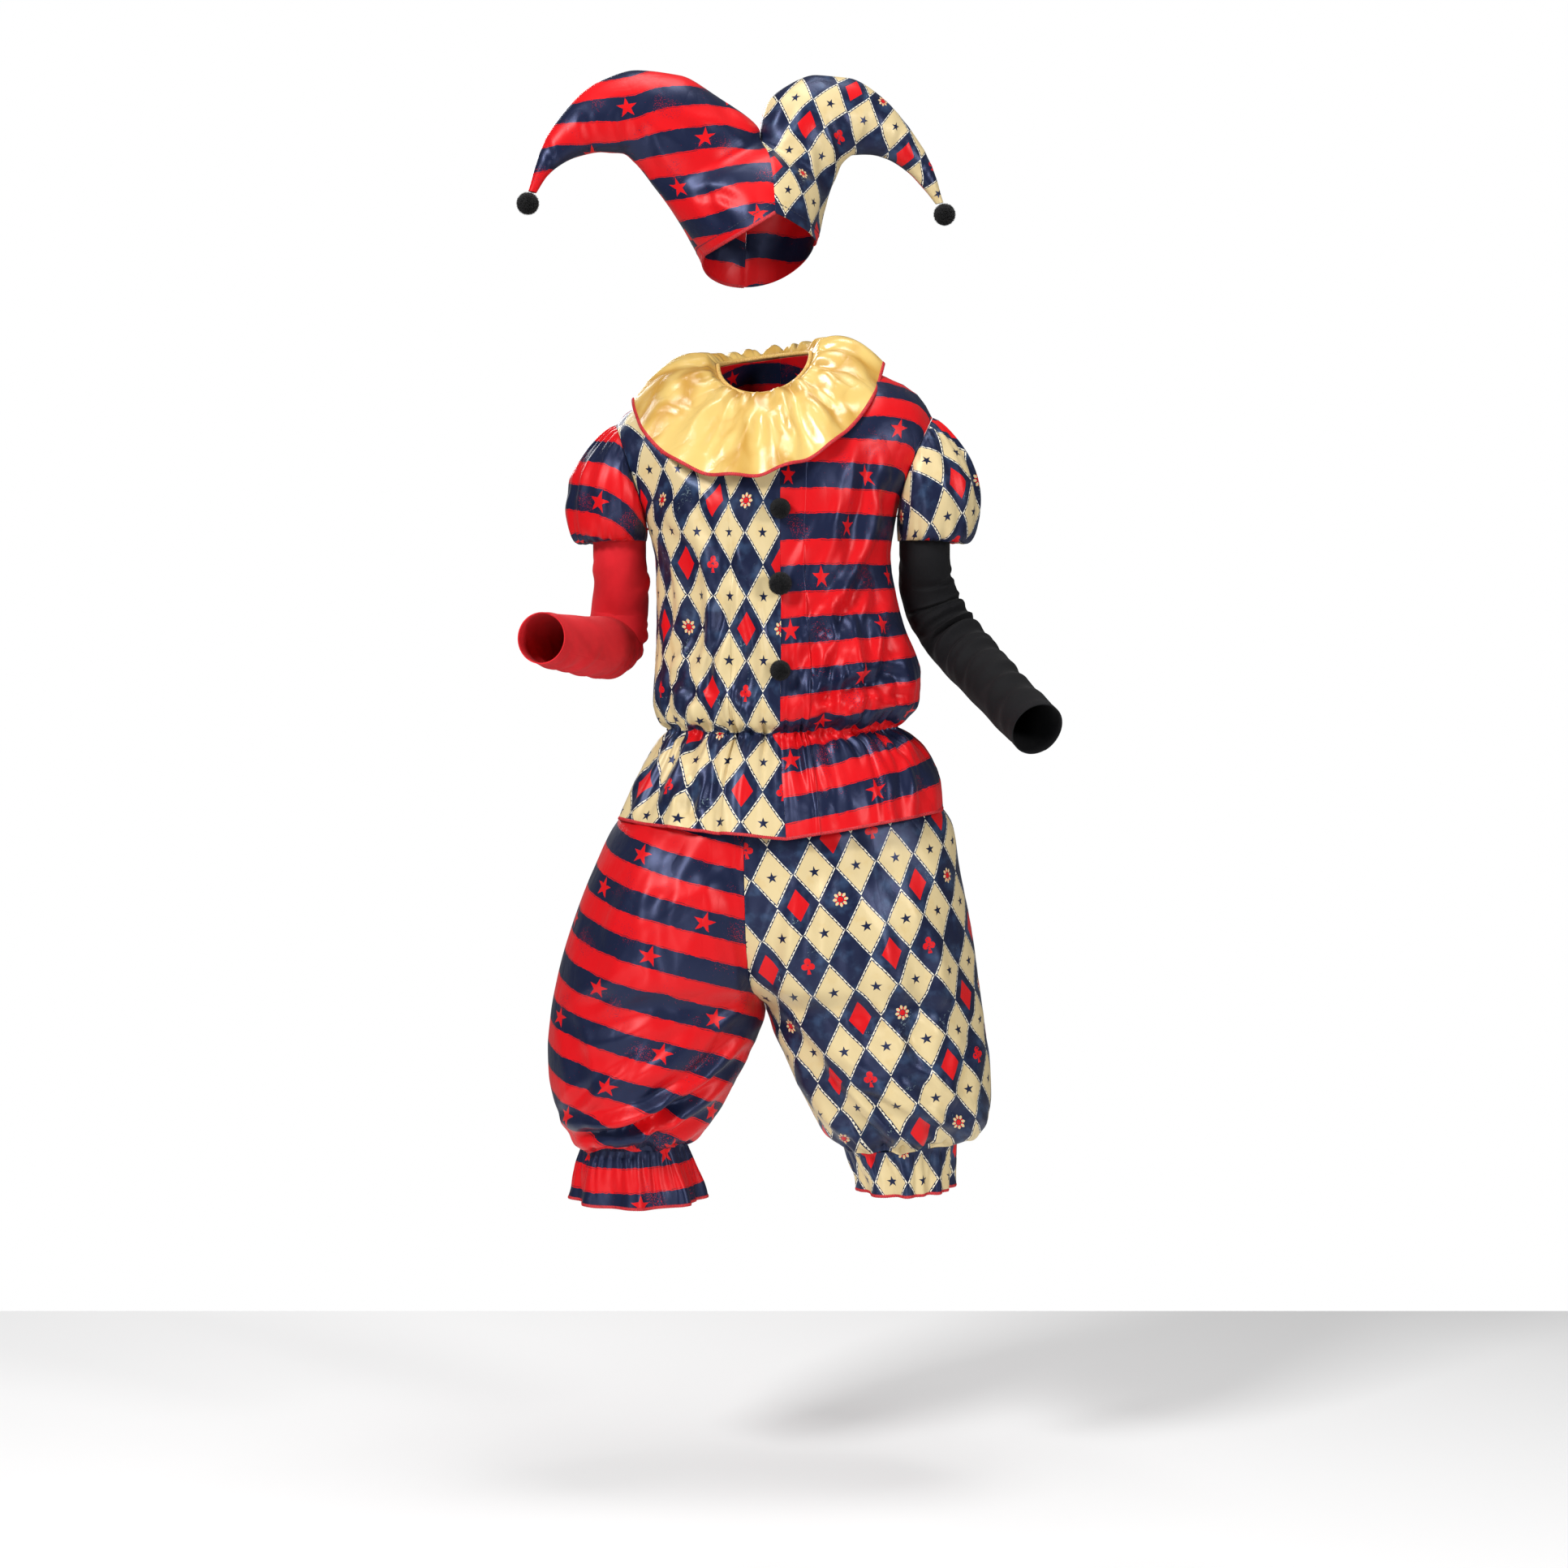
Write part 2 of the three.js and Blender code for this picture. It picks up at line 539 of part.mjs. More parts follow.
function hat() {
  const group = new THREE.Group();
  group.position.x = hatMiddleX;
  group.rotation.z = hatTurn;
  group.add(hatPanel('left', 'front', FINISH.stripe));
  group.add(hatPanel('right', 'front', FINISH.lozenge));
  group.add(hatPanel('left', 'back', FINISH.stripe));
  group.add(hatPanel('right', 'back', FINISH.stripe));
  group.add(pompom('hat_pompom_left', hatPompomRadius, hornTip('left')));
  group.add(pompom('hat_pompom_right', hatPompomRadius, hornTip('right')));
  return group;
}

// Neck edge of the ruff at a turn from 0, the centre front, round by the right side
function neckEdge(turn, spread, drop) {
  const angle = turn * TURN;
  const across = Math.sin(angle) * (neckHalfWidth + spread);
  const forward = Math.cos(angle);
  const swing = forward > 0 ? -neckFrontDrop * forward : -neckBackRise * forward;
  return vector(
    neckMiddle.x + across,
    neckMiddle.y - forward * (neckHalfDepth + spread),
    neckSideHeight + swing + neckLean * across - drop,
  );
}

// Outer edge of the ruff
function ruffEdge(turn) {
  const angle = turn * TURN;
  const forward = Math.cos(angle);
  const across = Math.sin(angle) * collarHalfWidth;
  const reach = forward > 0 ? collarFrontReach : collarBackReach;
  const drop = forward > 0 ? collarFrontDrop * forward ** collarFrontDropPower : -collarBackDrop * forward;
  return vector(
    collarMiddleX + across,
    neckMiddle.y - forward * reach,
    collarSideHeight - drop + neckLean * across,
  );
}

// Waves of the ruff: shallow at the neck, full at the edge, each a little unlike the next
function ruffWave(turn, share) {
  const angle = turn * TURN;
  const uneven = 1 + 0.35 * Math.sin(3 * angle + 1) + 0.2 * Math.sin(5 * angle);
  const swell = (1 - Math.cos(collarWaves * angle + 0.6 * Math.sin(2 * angle))) / 2;
  return collarWaveHeight * uneven * swell * (0.25 + 0.75 * share) * smoothstep(share, 0, 0.15);
}

function ruff() {
  const place = (u, v) => {
    const inner = neckEdge(u, bindingRadius + seamGap + 0.2, 0);
    const outer = ruffEdge(u);
    const point = inner.clone().lerp(outer, v);
    point.z = mix(inner.z, outer.z, v ** collarSagPower) + collarLift * Math.sin(Math.PI * v);
    return point;
  };
  const shape = { ring: true, outward: () => vector(0, 0, 1) };
  const smooth = gridOf(collarColumns, collarRows, place);
  const grid = raise(smooth, shape, (u, v) => ruffWave(u, v));
  return piece('ruff_collar', wallGeometry(grid, shape, collarWall), FINISH.gold);
}

// Narrow round binding of the neck edge
function neckBinding() {
  const sides = bindingSides;
  const segments = bindingSegments;
  const positions = [];
  for (let segment = 0; segment < segments; segment += 1) {
    const centre = neckEdge(segment / segments, 0, 0);
    const outward = vector(centre.x - neckMiddle.x, centre.y - neckMiddle.y, 0).normalize();
    for (let side = 0; side < sides; side += 1) {
      const angle = (side / sides) * TURN;
      const point = centre.clone().addScaledVector(outward, bindingRadius * Math.cos(angle));
      point.z += bindingRadius * Math.sin(angle);
      positions.push(point.x, point.y, point.z);
    }
  }
  const faces = [];
  for (let segment = 0; segment < segments; segment += 1) {
    for (let side = 0; side < sides; side += 1) {
      const next = ((segment + 1) % segments) * sides;
      const a = segment * sides + side;
      const b = segment * sides + ((side + 1) % sides);
      const c = next + ((side + 1) % sides);
      const d = next + side;
      faces.push(a, b, c, a, c, d);
    }
  }
  const geometry = new THREE.BufferGeometry();
  geometry.setAttribute('position', new THREE.Float32BufferAttribute(positions, 3));
  geometry.setIndex(volumeOf(positions, faces) < 0 ? faces.reverse() : faces);
  geometry.computeVertexNormals();
  return piece('neck_binding', geometry, FINISH.gold);
}

// Upper edge of the top: the neckline inside the neck, the shoulder seam outside it
function upperEdge(x, face) {
  const across = (x - neckMiddle.x) / (neckHalfWidth + necklineClearance);
  if (Math.abs(across) >= 1) {
    return shoulderHeight(x);
  }
  const forward = Math.sqrt(1 - across ** 2);
  const lean = neckLean * (x - neckMiddle.x);
  const swing = face === 'front' ? -neckFrontDrop * forward : neckBackRise * forward;
  return neckSideHeight + swing + lean - necklineDrop;
}

// How far the top's section has filled out, a drop below the shoulder line
function shoulderFill(x, z, face) {
  const across = Math.abs(x - neckMiddle.x) / (neckHalfWidth + necklineClearance);
  const hump = face === 'back' && across < 1 ? neckBackHump * (1 - across ** 2) : 0;
  const below = clamp((shoulderHeight(x) + hump - z) / shoulderRounding, 0, 1);
  const roundness = mix(1, 0.55, smoothstep(across, 1, 2.8));
  return (1 - (1 - below) ** 2) ** roundness;
}

// A point of the top: u runs from the centre seam to the side, v from the hem to the shoulder
function topPoint(side, face, u, v) {
  const table = TOP[side];
  const row = rowAt(table, v);
  const tip = table[table.length - 1];
  const neckX = neckMiddle.x + sidePart[side].x * (neckHalfWidth + necklineClearance);
  const neckShare = (neckX - tip.seamX) / (tip.sideX - tip.seamX);
  const neckColumns = NECK_COLUMNS[side] / topColumns;
  const eased = (share) => Math.sin((Math.PI / 2) * share);
  const w = u <= neckColumns
    ? neckShare * eased(u / neckColumns)
    : neckShare + (1 - neckShare) * eased((u - neckColumns) / (1 - neckColumns));
  const seamX = row.seamX + sidePart[side].x * (seamGap / 2);
  const x = mix(seamX, row.sideX, w);
  const tipSeamZ = face === 'front' ? tip.frontZ : tip.backZ;
  const level = mix(face === 'front' ? row.frontZ : row.backZ, row.sideZ, w);
  const topX = mix(tip.seamX, tip.sideX, w);
  const correction = upperEdge(topX, face) - mix(tipSeamZ, tip.sideZ, w);
  const z = level + correction * smoothstep(v, necklineShapingStart, 1);
  const fill = v >= 1 && w >= neckShare - 1e-6 ? 0 : shoulderFill(x, z, face);
  const middle = face === 'front' ? row.front : row.back;
  const round = middle ** 2 * (1 - w * w) + (sectionFullness * middle) ** 2 * 4 * w * (1 - w);
  const depth = Math.sqrt(fill ** 2 * round + row.arm ** 2 * w * w);
  return vector(x, facePart[face].y * (depth + seamGap / 2), z);
}

function topPanel(side, face, folds, finish) {
  const table = TOP[side];
  const grid = gridOf(topColumns, topRows, (u, v) => topPoint(side, face, u, v));
  const shape = {
    ring: false,
    outward: facesAway(face),
    seamNormal: (normal, u, v) => {
      const flat = normal;
      if (u === 0) {
        flat.x = 0;
      }
      const onSideSeam = u === 1 && v <= underarmRow / (table.length - 1) + 0.001;
      const onShoulder = v === 1 && u >= NECK_COLUMNS[side] / topColumns - 0.001;
      if (onSideSeam || onShoulder) {
        flat.y = 0;
      }
      return flat;
    },
  };
  const gathered = raise(grid, shape, (u, v, point) => {
    const height = rowAt(table, v).gather;
    const free = Math.sin(Math.PI * u) ** 0.5;
    return height * (1 - Math.cos(TURN * topGathersPerPanel * u)) / 2 + free * troughs(folds, point);
  });
  return piece(`top_${face}_${side}`, wallGeometry(gathered, shape, satinWall), finish);
}

// Armhole at a turn from 0, the underarm, by the front to 0.5, the shoulder tip, and round the back
function armhole(side, turn) {
  const lift = (1 - Math.cos(turn * TURN)) / 2;
  const underarm = underarmRow / (TOP[side].length - 1);
  return topPoint(side, turn <= 0.5 ? 'front' : 'back', 1, mix(underarm, 1, lift));
}

const ringDirection = (side, turn) => (
  vector(-sidePart[side].x * Math.cos(turn * TURN), -Math.sin(turn * TURN), 0)
);

function puffSleeve(side, finish) {
  const start = ARMS[side].start;
  const centre = vector(start.x, start.y, sleeveBand.z);
  const place = (u, v) => {
    const head = armhole(side, u);
    head.x += sidePart[side].x * sleeveGap;
    const out = ringDirection(side, u);
    const band = centre.clone().addScaledVector(out, sleeveBand.radius);
    const point = head.lerp(band, v);
    const fullness = puffInner + (puffOuter - puffInner) * (1 - Math.cos(u * TURN)) / 2;
    point.addScaledVector(out, fullness * Math.sin(Math.PI * v ** 1.25) ** 0.5);
    point.z -= 4 * puffBlouse * (v ** 6 - v ** 12) * (1 - Math.cos(u * TURN)) / 2;
    return point;
  };
  const shape = {
    ring: true,
    outward: (point) => vector(point.x - centre.x, point.y - centre.y, 0),
  };
  const smooth = gridOf(puffColumns, puffRows, place);
  const grid = raise(smooth, shape, (u, v) => {
    const away = (1 - Math.cos(u * TURN)) / 2;
    const swell = (1 - Math.cos(TURN * puffGathers * u)) / 2;
    return puffGatherHeight * away * swell * Math.sin(Math.PI * v) ** 0.5 * Math.abs(2 * v - 1);
  });
  return piece(`puff_sleeve_${side}`, wallGeometry(grid, shape, satinWall), finish);
}

function underSleeve(side, finish) {
  const { start, route } = ARMS[side];
  const stations = [
    { x: start.x, y: start.y, z: underSleeveTop, radius: underSleeveRadius },
    { x: start.x, y: start.y, z: underSleeveBelowBand, radius: underSleeveRadius },
    ...route,
  ];
  const rows = underSleeveRows;
  const centres = Array.from({ length: rows + 1 }, (_, row) => {
    const station = rowAt(stations, row / rows);
    return { middle: vector(station.x, station.y, station.z), radius: station.radius };
  });
  let first = ringDirection(side, 0);
  const columns = underSleeveColumns;
  const grid = centres.map(({ middle, radius }, row) => {
    const before = centres[Math.max(row - 1, 0)].middle;
    const after = centres[Math.min(row + 1, rows)].middle;
    const along = row < 2 ? vector(0, 0, -1) : vector().subVectors(after, before).normalize();
    first = first.clone().addScaledVector(along, -first.dot(along)).normalize();
    const second = vector().crossVectors(first, along).multiplyScalar(-sidePart[side].x);
    return Array.from({ length: columns + 1 }, (_, column) => {
      const angle = (column / columns) * TURN;
      return middle.clone()
        .addScaledVector(first, radius * Math.cos(angle))
        .addScaledVector(second, radius * Math.sin(angle));
    });
  });
  const middleOf = centres[Math.floor(rows / 2)].middle;
  const shape = { ring: true, outward: (point) => vector().subVectors(point, middleOf) };
  return piece(`under_sleeve_${side}`, wallGeometry(grid, shape, knitWall), finish);
}

function buttons() {
  return BUTTONS.map(({ z, radius }, index) => {
    const reach = TOP.left.find((row) => row.frontZ >= z).front;
    const centre = vector(buttonX, -(reach + radius + buttonClearance + seamGap), z);
    return pompom(`pompom_button_${index + 1}`, radius, centre);
  });
}

// Bloomers: a front and a back for each leg, from the waist to the gathering below the knee
function legPanel(side, face, folds, finish) {
  const table = LEGS[side];
  const outwardX = sidePart[side].x;
  const crotch = crotchRow / (table.length - 1);
  const place = (u, v) => {
    const row = rowAt(table, v);
    const inner = v <= crotch ? rowAt(LEGS.left, v) : row;
    const w = (1 - Math.cos(Math.PI * u)) / 2;
    const depth = Math.sqrt(row.seam ** 2 * (1 - w * w) + row.leg ** 2 * 4 * w * (1 - w));
    return vector(
      mix(inner.innerX + outwardX * seamGap / 2, row.outerX, w),
      facePart[face].y * (depth + seamGap / 2),
      mix(inner.innerZ, row.outerZ, w),
    );
  };
  const shape = {
    ring: false,
    outward: facesAway(face),
    seamNormal: (normal, u, v) => {
      const flat = normal;
      if (u === 1 || (u === 0 && v >= crotch)) {
        flat.y = 0;
      }
      if (u === 0 && v <= crotch) {
        flat.x = 0;
      }
      return flat.lengthSq() > 0.01 ? flat : vector(0, 0, -1);
    },
  };
  const grid = raise(gridOf(legColumns, legRows, place), shape, (u, v, point) => {
    const height = rowAt(table, v).gather;
    const free = Math.sin(Math.PI * u) ** 0.5;
    return height * (1 - Math.cos(TURN * legGathersPerPanel * u)) / 2 + free * troughs(folds, point);
  });
  return piece(`leg_${face}_${side}`, wallGeometry(grid, shape, satinWall), finish);
}

function frill(side, finish) {
  const table = FRILLS[side];
  const place = (u, v) => {
    const row = rowAt(table, v);
    const angle = u * TURN;
    const wave = row.wave * (Math.cos(frillWaves * angle + 0.5 * Math.sin(angle)) - 1) / 2;
    const across = Math.cos(angle) * (row.across + wave);
    return vector(row.x + across, Math.sin(angle) * (row.deep + wave), row.z - frillGap + row.tilt * across);
  };
  const middle = table[1];
  const shape = { ring: true, outward: (point) => vector(point.x - middle.x, point.y, 0) };
  return piece(`knee_frill_${side}`, wallGeometry(gridOf(frillColumns, frillRows, place), shape, satinWall), finish);
}

const costume = new THREE.Group();
costume.add(hat());
costume.add(ruff());
costume.add(neckBinding());
costume.add(topPanel('left', 'front', FOLDS.frontLeft, FINISH.lozenge));
costume.add(topPanel('right', 'front', FOLDS.frontRight, FINISH.stripe));
costume.add(topPanel('left', 'back', [], FINISH.stripe));
costume.add(topPanel('right', 'back', [], FINISH.stripe));
costume.add(puffSleeve('left', FINISH.stripe));
costume.add(puffSleeve('right', FINISH.lozenge));
costume.add(underSleeve('left', FINISH.redKnit));
costume.add(underSleeve('right', FINISH.blackKnit));
costume.add(...buttons());
costume.add(legPanel('left', 'front', FOLDS.legLeft, FINISH.stripe));
costume.add(legPanel('right', 'front', FOLDS.legRight, FINISH.lozenge));
costume.add(legPanel('left', 'back', [], FINISH.stripe));
costume.add(legPanel('right', 'back', [], FINISH.stripe));
costume.add(frill('left', FINISH.stripe));
costume.add(frill('right', FINISH.lozenge));

export default costume;
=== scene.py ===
# %% [markdown]
# A jester costume: a two-horned satin hat, a gold ruff, a printed top with puff sleeves over
# long knitted under-sleeves, and gathered bloomers with frilled cuffs. The left half, as the
# viewer sees it, and the right half are made of two prints that swap places from piece to piece.
#
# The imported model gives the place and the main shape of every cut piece. This lesson makes each
# piece again from the same named sizes, with many more points, so that the cloth can carry its
# gathers, drag folds, prints and sewing.

# %% Load the frame
import math

import bpy
import numpy as np
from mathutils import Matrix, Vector
from mathutils.bvhtree import BVHTree


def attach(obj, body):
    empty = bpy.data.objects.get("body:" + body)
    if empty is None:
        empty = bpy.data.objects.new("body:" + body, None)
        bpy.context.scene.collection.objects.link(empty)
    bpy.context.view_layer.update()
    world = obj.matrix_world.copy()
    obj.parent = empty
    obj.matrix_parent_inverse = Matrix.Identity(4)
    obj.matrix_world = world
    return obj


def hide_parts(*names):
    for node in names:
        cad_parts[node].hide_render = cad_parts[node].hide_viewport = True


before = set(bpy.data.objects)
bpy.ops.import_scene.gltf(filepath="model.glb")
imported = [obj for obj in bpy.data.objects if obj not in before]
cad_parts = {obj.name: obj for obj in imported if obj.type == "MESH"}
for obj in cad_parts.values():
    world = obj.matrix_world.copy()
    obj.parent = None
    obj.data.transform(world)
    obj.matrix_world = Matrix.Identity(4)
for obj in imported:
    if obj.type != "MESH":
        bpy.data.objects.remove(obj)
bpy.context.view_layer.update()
print("nodes in the frame:", len(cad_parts))

# %% [markdown]
# The camera stands where the photographer stood: about 4.5 m in front, at chest height, looking
# a little down. A white room with five soft boxes gives satin the long, pale highlights it is
# known for. The room itself gives only a little light, so that the folds keep their shade, but the
# camera sees it as plain white.

# %% Camera, floor and light
MM = 0.001
picture_width = 2.166
camera_distance = 4.5
camera_height = -0.36
picture_middle = (0.009, 0.0, -0.550)
floor_height = -1.53
floor_reach = 2.2
floor_behind = 1.2


def aim(thing, target):
    """Turns a camera or a lamp, whose front is -Z, towards a point."""
    direction = Vector(target) - thing.location
    thing.rotation_euler = direction.to_track_quat("-Z", "Y").to_euler()


camera = bpy.data.objects.new("camera", bpy.data.cameras.new("camera"))
bpy.context.scene.collection.objects.link(camera)
camera.location = (picture_middle[0], -camera_distance, camera_height)
aim(camera, picture_middle)
reach = (camera.location - Vector(picture_middle)).length
camera.data.sensor_width = 36
camera.data.lens = 36 * reach / picture_width
bpy.context.scene.camera = camera

LAMPS = (
    # name, place, size, watts, what it is aimed at
    ("key_box", (-2.2, -3.0, 1.9), 1.0, 150, (0, 0, -0.35)),
    ("fill_box", (2.9, -2.6, 0.5), 0.8, 68, (0, 0, -0.5)),
    ("low_box", (-0.9, -3.2, -1.3), 0.9, 20, (0, 0, -0.8)),
    ("top_box", (0.3, -0.4, 2.6), 1.2, 44, (0, 0, -0.4)),
    ("rim_box", (-1.4, 2.8, 1.2), 1.4, 50, (0, 0, -0.3)),
)
for name, place, size, watts, target in LAMPS:
    lamp = bpy.data.objects.new(name, bpy.data.lights.new(name, "AREA"))
    bpy.context.scene.collection.objects.link(lamp)
    lamp.location = place
    lamp.data.size = size
    lamp.data.energy = watts
    aim(lamp, target)

room_light = 0.14

world = bpy.context.scene.world or bpy.data.worlds.new("room")
bpy.context.scene.world = world
world.use_nodes = True
room = world.node_tree
room_paint = room.nodes["Background"]
room_paint.inputs["Color"].default_value = (1, 1, 1, 1)
room_strength = room.nodes.new("ShaderNodeMapRange")
room_strength.inputs["To Min"].default_value = room_light
room_strength.inputs["To Max"].default_value = 1.0
room_ray = room.nodes.new("ShaderNodeLightPath")
room.links.new(room_ray.outputs["Is Camera Ray"], room_strength.inputs["Value"])
room.links.new(room_strength.outputs["Result"], room_paint.inputs["Strength"])
bpy.context.scene.view_settings.view_transform = "Standard"

# %% Shader helpers
def colour(red, green, blue):
    """An sRGB colour from 0 to 255 as the linear values that shaders use."""
    def linear(value):
        value /= 255
        return value / 12.92 if value <= 0.04045 else ((value + 0.055) / 1.055) ** 2.4
    return (linear(red), linear(green), linear(blue), 1)


def put(tree, socket, value):
    """Feeds a socket from another socket, or sets its number."""
    if isinstance(value, bpy.types.NodeSocket):
        tree.links.new(value, socket)
    else:
        socket.default_value = value


def maths(tree, operation, *values):
    node = tree.nodes.new("ShaderNodeMath")
    node.operation = operation
    for socket, value in zip(node.inputs, values):
        put(tree, socket, value)
    return node.outputs[0]


def soft_step(tree, value, start, end):
    """0 below start, 1 above end, and smooth between."""
    node = tree.nodes.new("ShaderNodeMapRange")
    node.interpolation_type = "SMOOTHSTEP"
    for socket, number in zip(node.inputs, (value, start, end, 0.0, 1.0)):
        put(tree, socket, number)
    return node.outputs["Result"]


def noise_of(tree, place, scale, detail=2.0, roughness=0.5):
    node = tree.nodes.new("ShaderNodeTexNoise")
    put(tree, node.inputs["Vector"], place)
    for name, value in (("Scale", scale), ("Detail", detail), ("Roughness", roughness)):
        node.inputs[name].default_value = value
    return node.outputs["Fac"]


def stretched(tree, place, scales, turn=0.0):
    node = tree.nodes.new("ShaderNodeMapping")
    put(tree, node.inputs["Vector"], place)
    node.inputs["Scale"].default_value = scales
    node.inputs["Rotation"].default_value = (0, 0, turn)
    return node.outputs["Vector"]


def mixed(tree, factor, first, second):
    """Blends two colours by a mask."""
    node = tree.nodes.new("ShaderNodeMix")
    node.data_type = "RGBA"
    put(tree, node.inputs["Factor"], factor)
    put(tree, node.inputs["A"], first)
    put(tree, node.inputs["B"], second)
    return node.outputs["Result"]


def distance(tree, across, up):
    squares = maths(tree, "ADD", maths(tree, "POWER", across, 2), maths(tree, "POWER", up, 2))
    return maths(tree, "SQRT", squares)


def new_group(name, inputs, outputs):
    """An empty node group with named sockets; returns the tree, its inputs and its outputs."""
    tree = bpy.data.node_groups.new(name, "ShaderNodeTree")
    kinds = {"vector": "NodeSocketVector", "value": "NodeSocketFloat"}
    for direction, sockets in (("INPUT", inputs), ("OUTPUT", outputs)):
        for socket, kind in sockets:
            tree.interface.new_socket(name=socket, in_out=direction, socket_type=kinds[kind])
    start = tree.nodes.new("NodeGroupInput")
    end = tree.nodes.new("NodeGroupOutput")
    return tree, start.outputs, end.inputs


def placed_group(tree, group, **values):
    """Puts a group in a tree; its input names are given with _ for a space."""
    node = tree.nodes.new("ShaderNodeGroup")
    node.node_tree = group
    for name, value in values.items():
        put(tree, node.inputs[name.replace("_", " ")], value)
    return node.outputs


# %% A plain pale floor
floor_mesh = bpy.data.meshes.new("floor")
floor_corners = [(-floor_reach, -floor_reach, 0), (floor_reach, -floor_reach, 0),
                 (floor_reach, floor_behind, 0), (-floor_reach, floor_behind, 0)]
floor_mesh.from_pydata(floor_corners, [], [(0, 1, 2, 3)])
floor = bpy.data.objects.new("floor", floor_mesh)
floor.location.z = floor_height
bpy.context.scene.collection.objects.link(floor)
floor_paint = bpy.data.materials.new("pale floor")
floor_paint.use_nodes = True
floor_shader = floor_paint.node_tree.nodes["Principled BSDF"]
floor_shader.inputs["Base Color"].default_value = colour(244, 244, 244)
floor_shader.inputs["Roughness"].default_value = 0.9
floor_mesh.materials.append(floor_paint)

# %% [markdown]
# Cloth is easiest to control as a grid of points: u runs across a cut piece and v along it, both
# from 0 to 1. A short table gives the size of the piece at a few heights, and a smooth curve that
# never swings past the rows fills in what lies between. This is how a pattern cutter works too:
# a few measured widths, joined by a fair curve. Sizes are in millimetres until the mesh is made.

# %% Tables and grids
def table_of(columns, rows):
    return {name: np.array([row[i] for row in rows], float) for i, name in enumerate(columns.split())}


def row_at(table, place):
    """Every column of a table at places from 0, its first row, to 1, its last."""
    last = len(next(iter(table.values()))) - 1
    position = np.clip(np.asarray(place, float), 0, 1) * last
    index = np.minimum(position.astype(int), last - 1)
    share = position - index
    row = {}
    for name, column in table.items():
        ends = np.concatenate([[2 * column[0] - column[1]], column, [2 * column[-1] - column[-2]]])
        before, first, second, after = (ends[index + step] for step in range(4))
        leave = fair_slope(first - before, second - first)
        arrive = fair_slope(second - first, after - second)
        s2, s3 = share ** 2, share ** 3
        row[name] = (first * (2 * s3 - 3 * s2 + 1) + leave * (s3 - 2 * s2 + share)
                     + second * (3 * s2 - 2 * s3) + arrive * (s3 - s2))
    return row


def fair_slope(a, b):
    product = a * b
    return np.where(product > 0, 2 * product / np.where(product > 0, a + b, 1), 0)


def mix(a, b, share):
    return a + (b - a) * share


def smooth(value, start, end):
    share = np.clip((value - start) / (end - start), 0, 1)
    return share * share * (3 - 2 * share)


def points(x, y, z):
    return np.stack(np.broadcast_arrays(x, y, z), axis=-1).astype(float)


def grid_of(columns, rows, place):
    u, v = np.meshgrid(np.linspace(0, 1, columns + 1), np.linspace(0, 1, rows + 1))
    return place(u, v)


def shares(grid):
    rows, columns = grid.shape[0] - 1, grid.shape[1] - 1
    return np.meshgrid(np.linspace(0, 1, columns + 1), np.linspace(0, 1, rows + 1))


def normals_of(grid, ring, outward):
    """Unit normals of a grid, turned to the side that outward names at its middle."""
    if ring:
        inner = grid[:, :-1]
        across = np.roll(inner, -1, 1) - np.roll(inner, 1, 1)
        across = np.concatenate([across, across[:, :1]], axis=1)
    else:
        across = np.gradient(grid, axis=1)
    normal = np.cross(across, np.gradient(grid, axis=0))
    normal /= np.maximum(np.linalg.norm(normal, axis=2, keepdims=True), 1e-9)
    middle = (grid.shape[0] // 2, grid.shape[1] // 2)
    facing = np.dot(normal[middle], outward(grid[middle]))
    return -normal if facing < 0 else normal


def raised(grid, ring, outward, height):
    return grid + normals_of(grid, ring, outward) * height[..., None]


# %% [markdown]
# A cut piece becomes a thin closed shell: the grid is its right side, and a second layer lies one
# thickness behind it. A solidify modifier would do the same, but here the two layers are
# laid so that the walls of two pieces meet flat at a seam, and so that the second layer
# carries the same print coordinates.

# %% From a grid to a shell
satin_thickness = 1.0
knit_thickness = 1.6
finishes = {}
cut_pieces = []


def new_piece(name, places, faces, finish):
    """A mesh object with its finish, fixed to the costume's one body; places are in metres."""
    mesh = bpy.data.meshes.new(name)
    mesh.from_pydata(places.tolist(), [], faces)
    mesh.materials.append(finishes[finish])
    piece = bpy.data.objects.new(name, mesh)
    bpy.context.scene.collection.objects.link(piece)
    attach(piece, "root")
    return piece


def facing_y(out_y):
    """The outward direction of a panel that faces the front or the back."""
    return lambda _: np.array([0, out_y, 0])


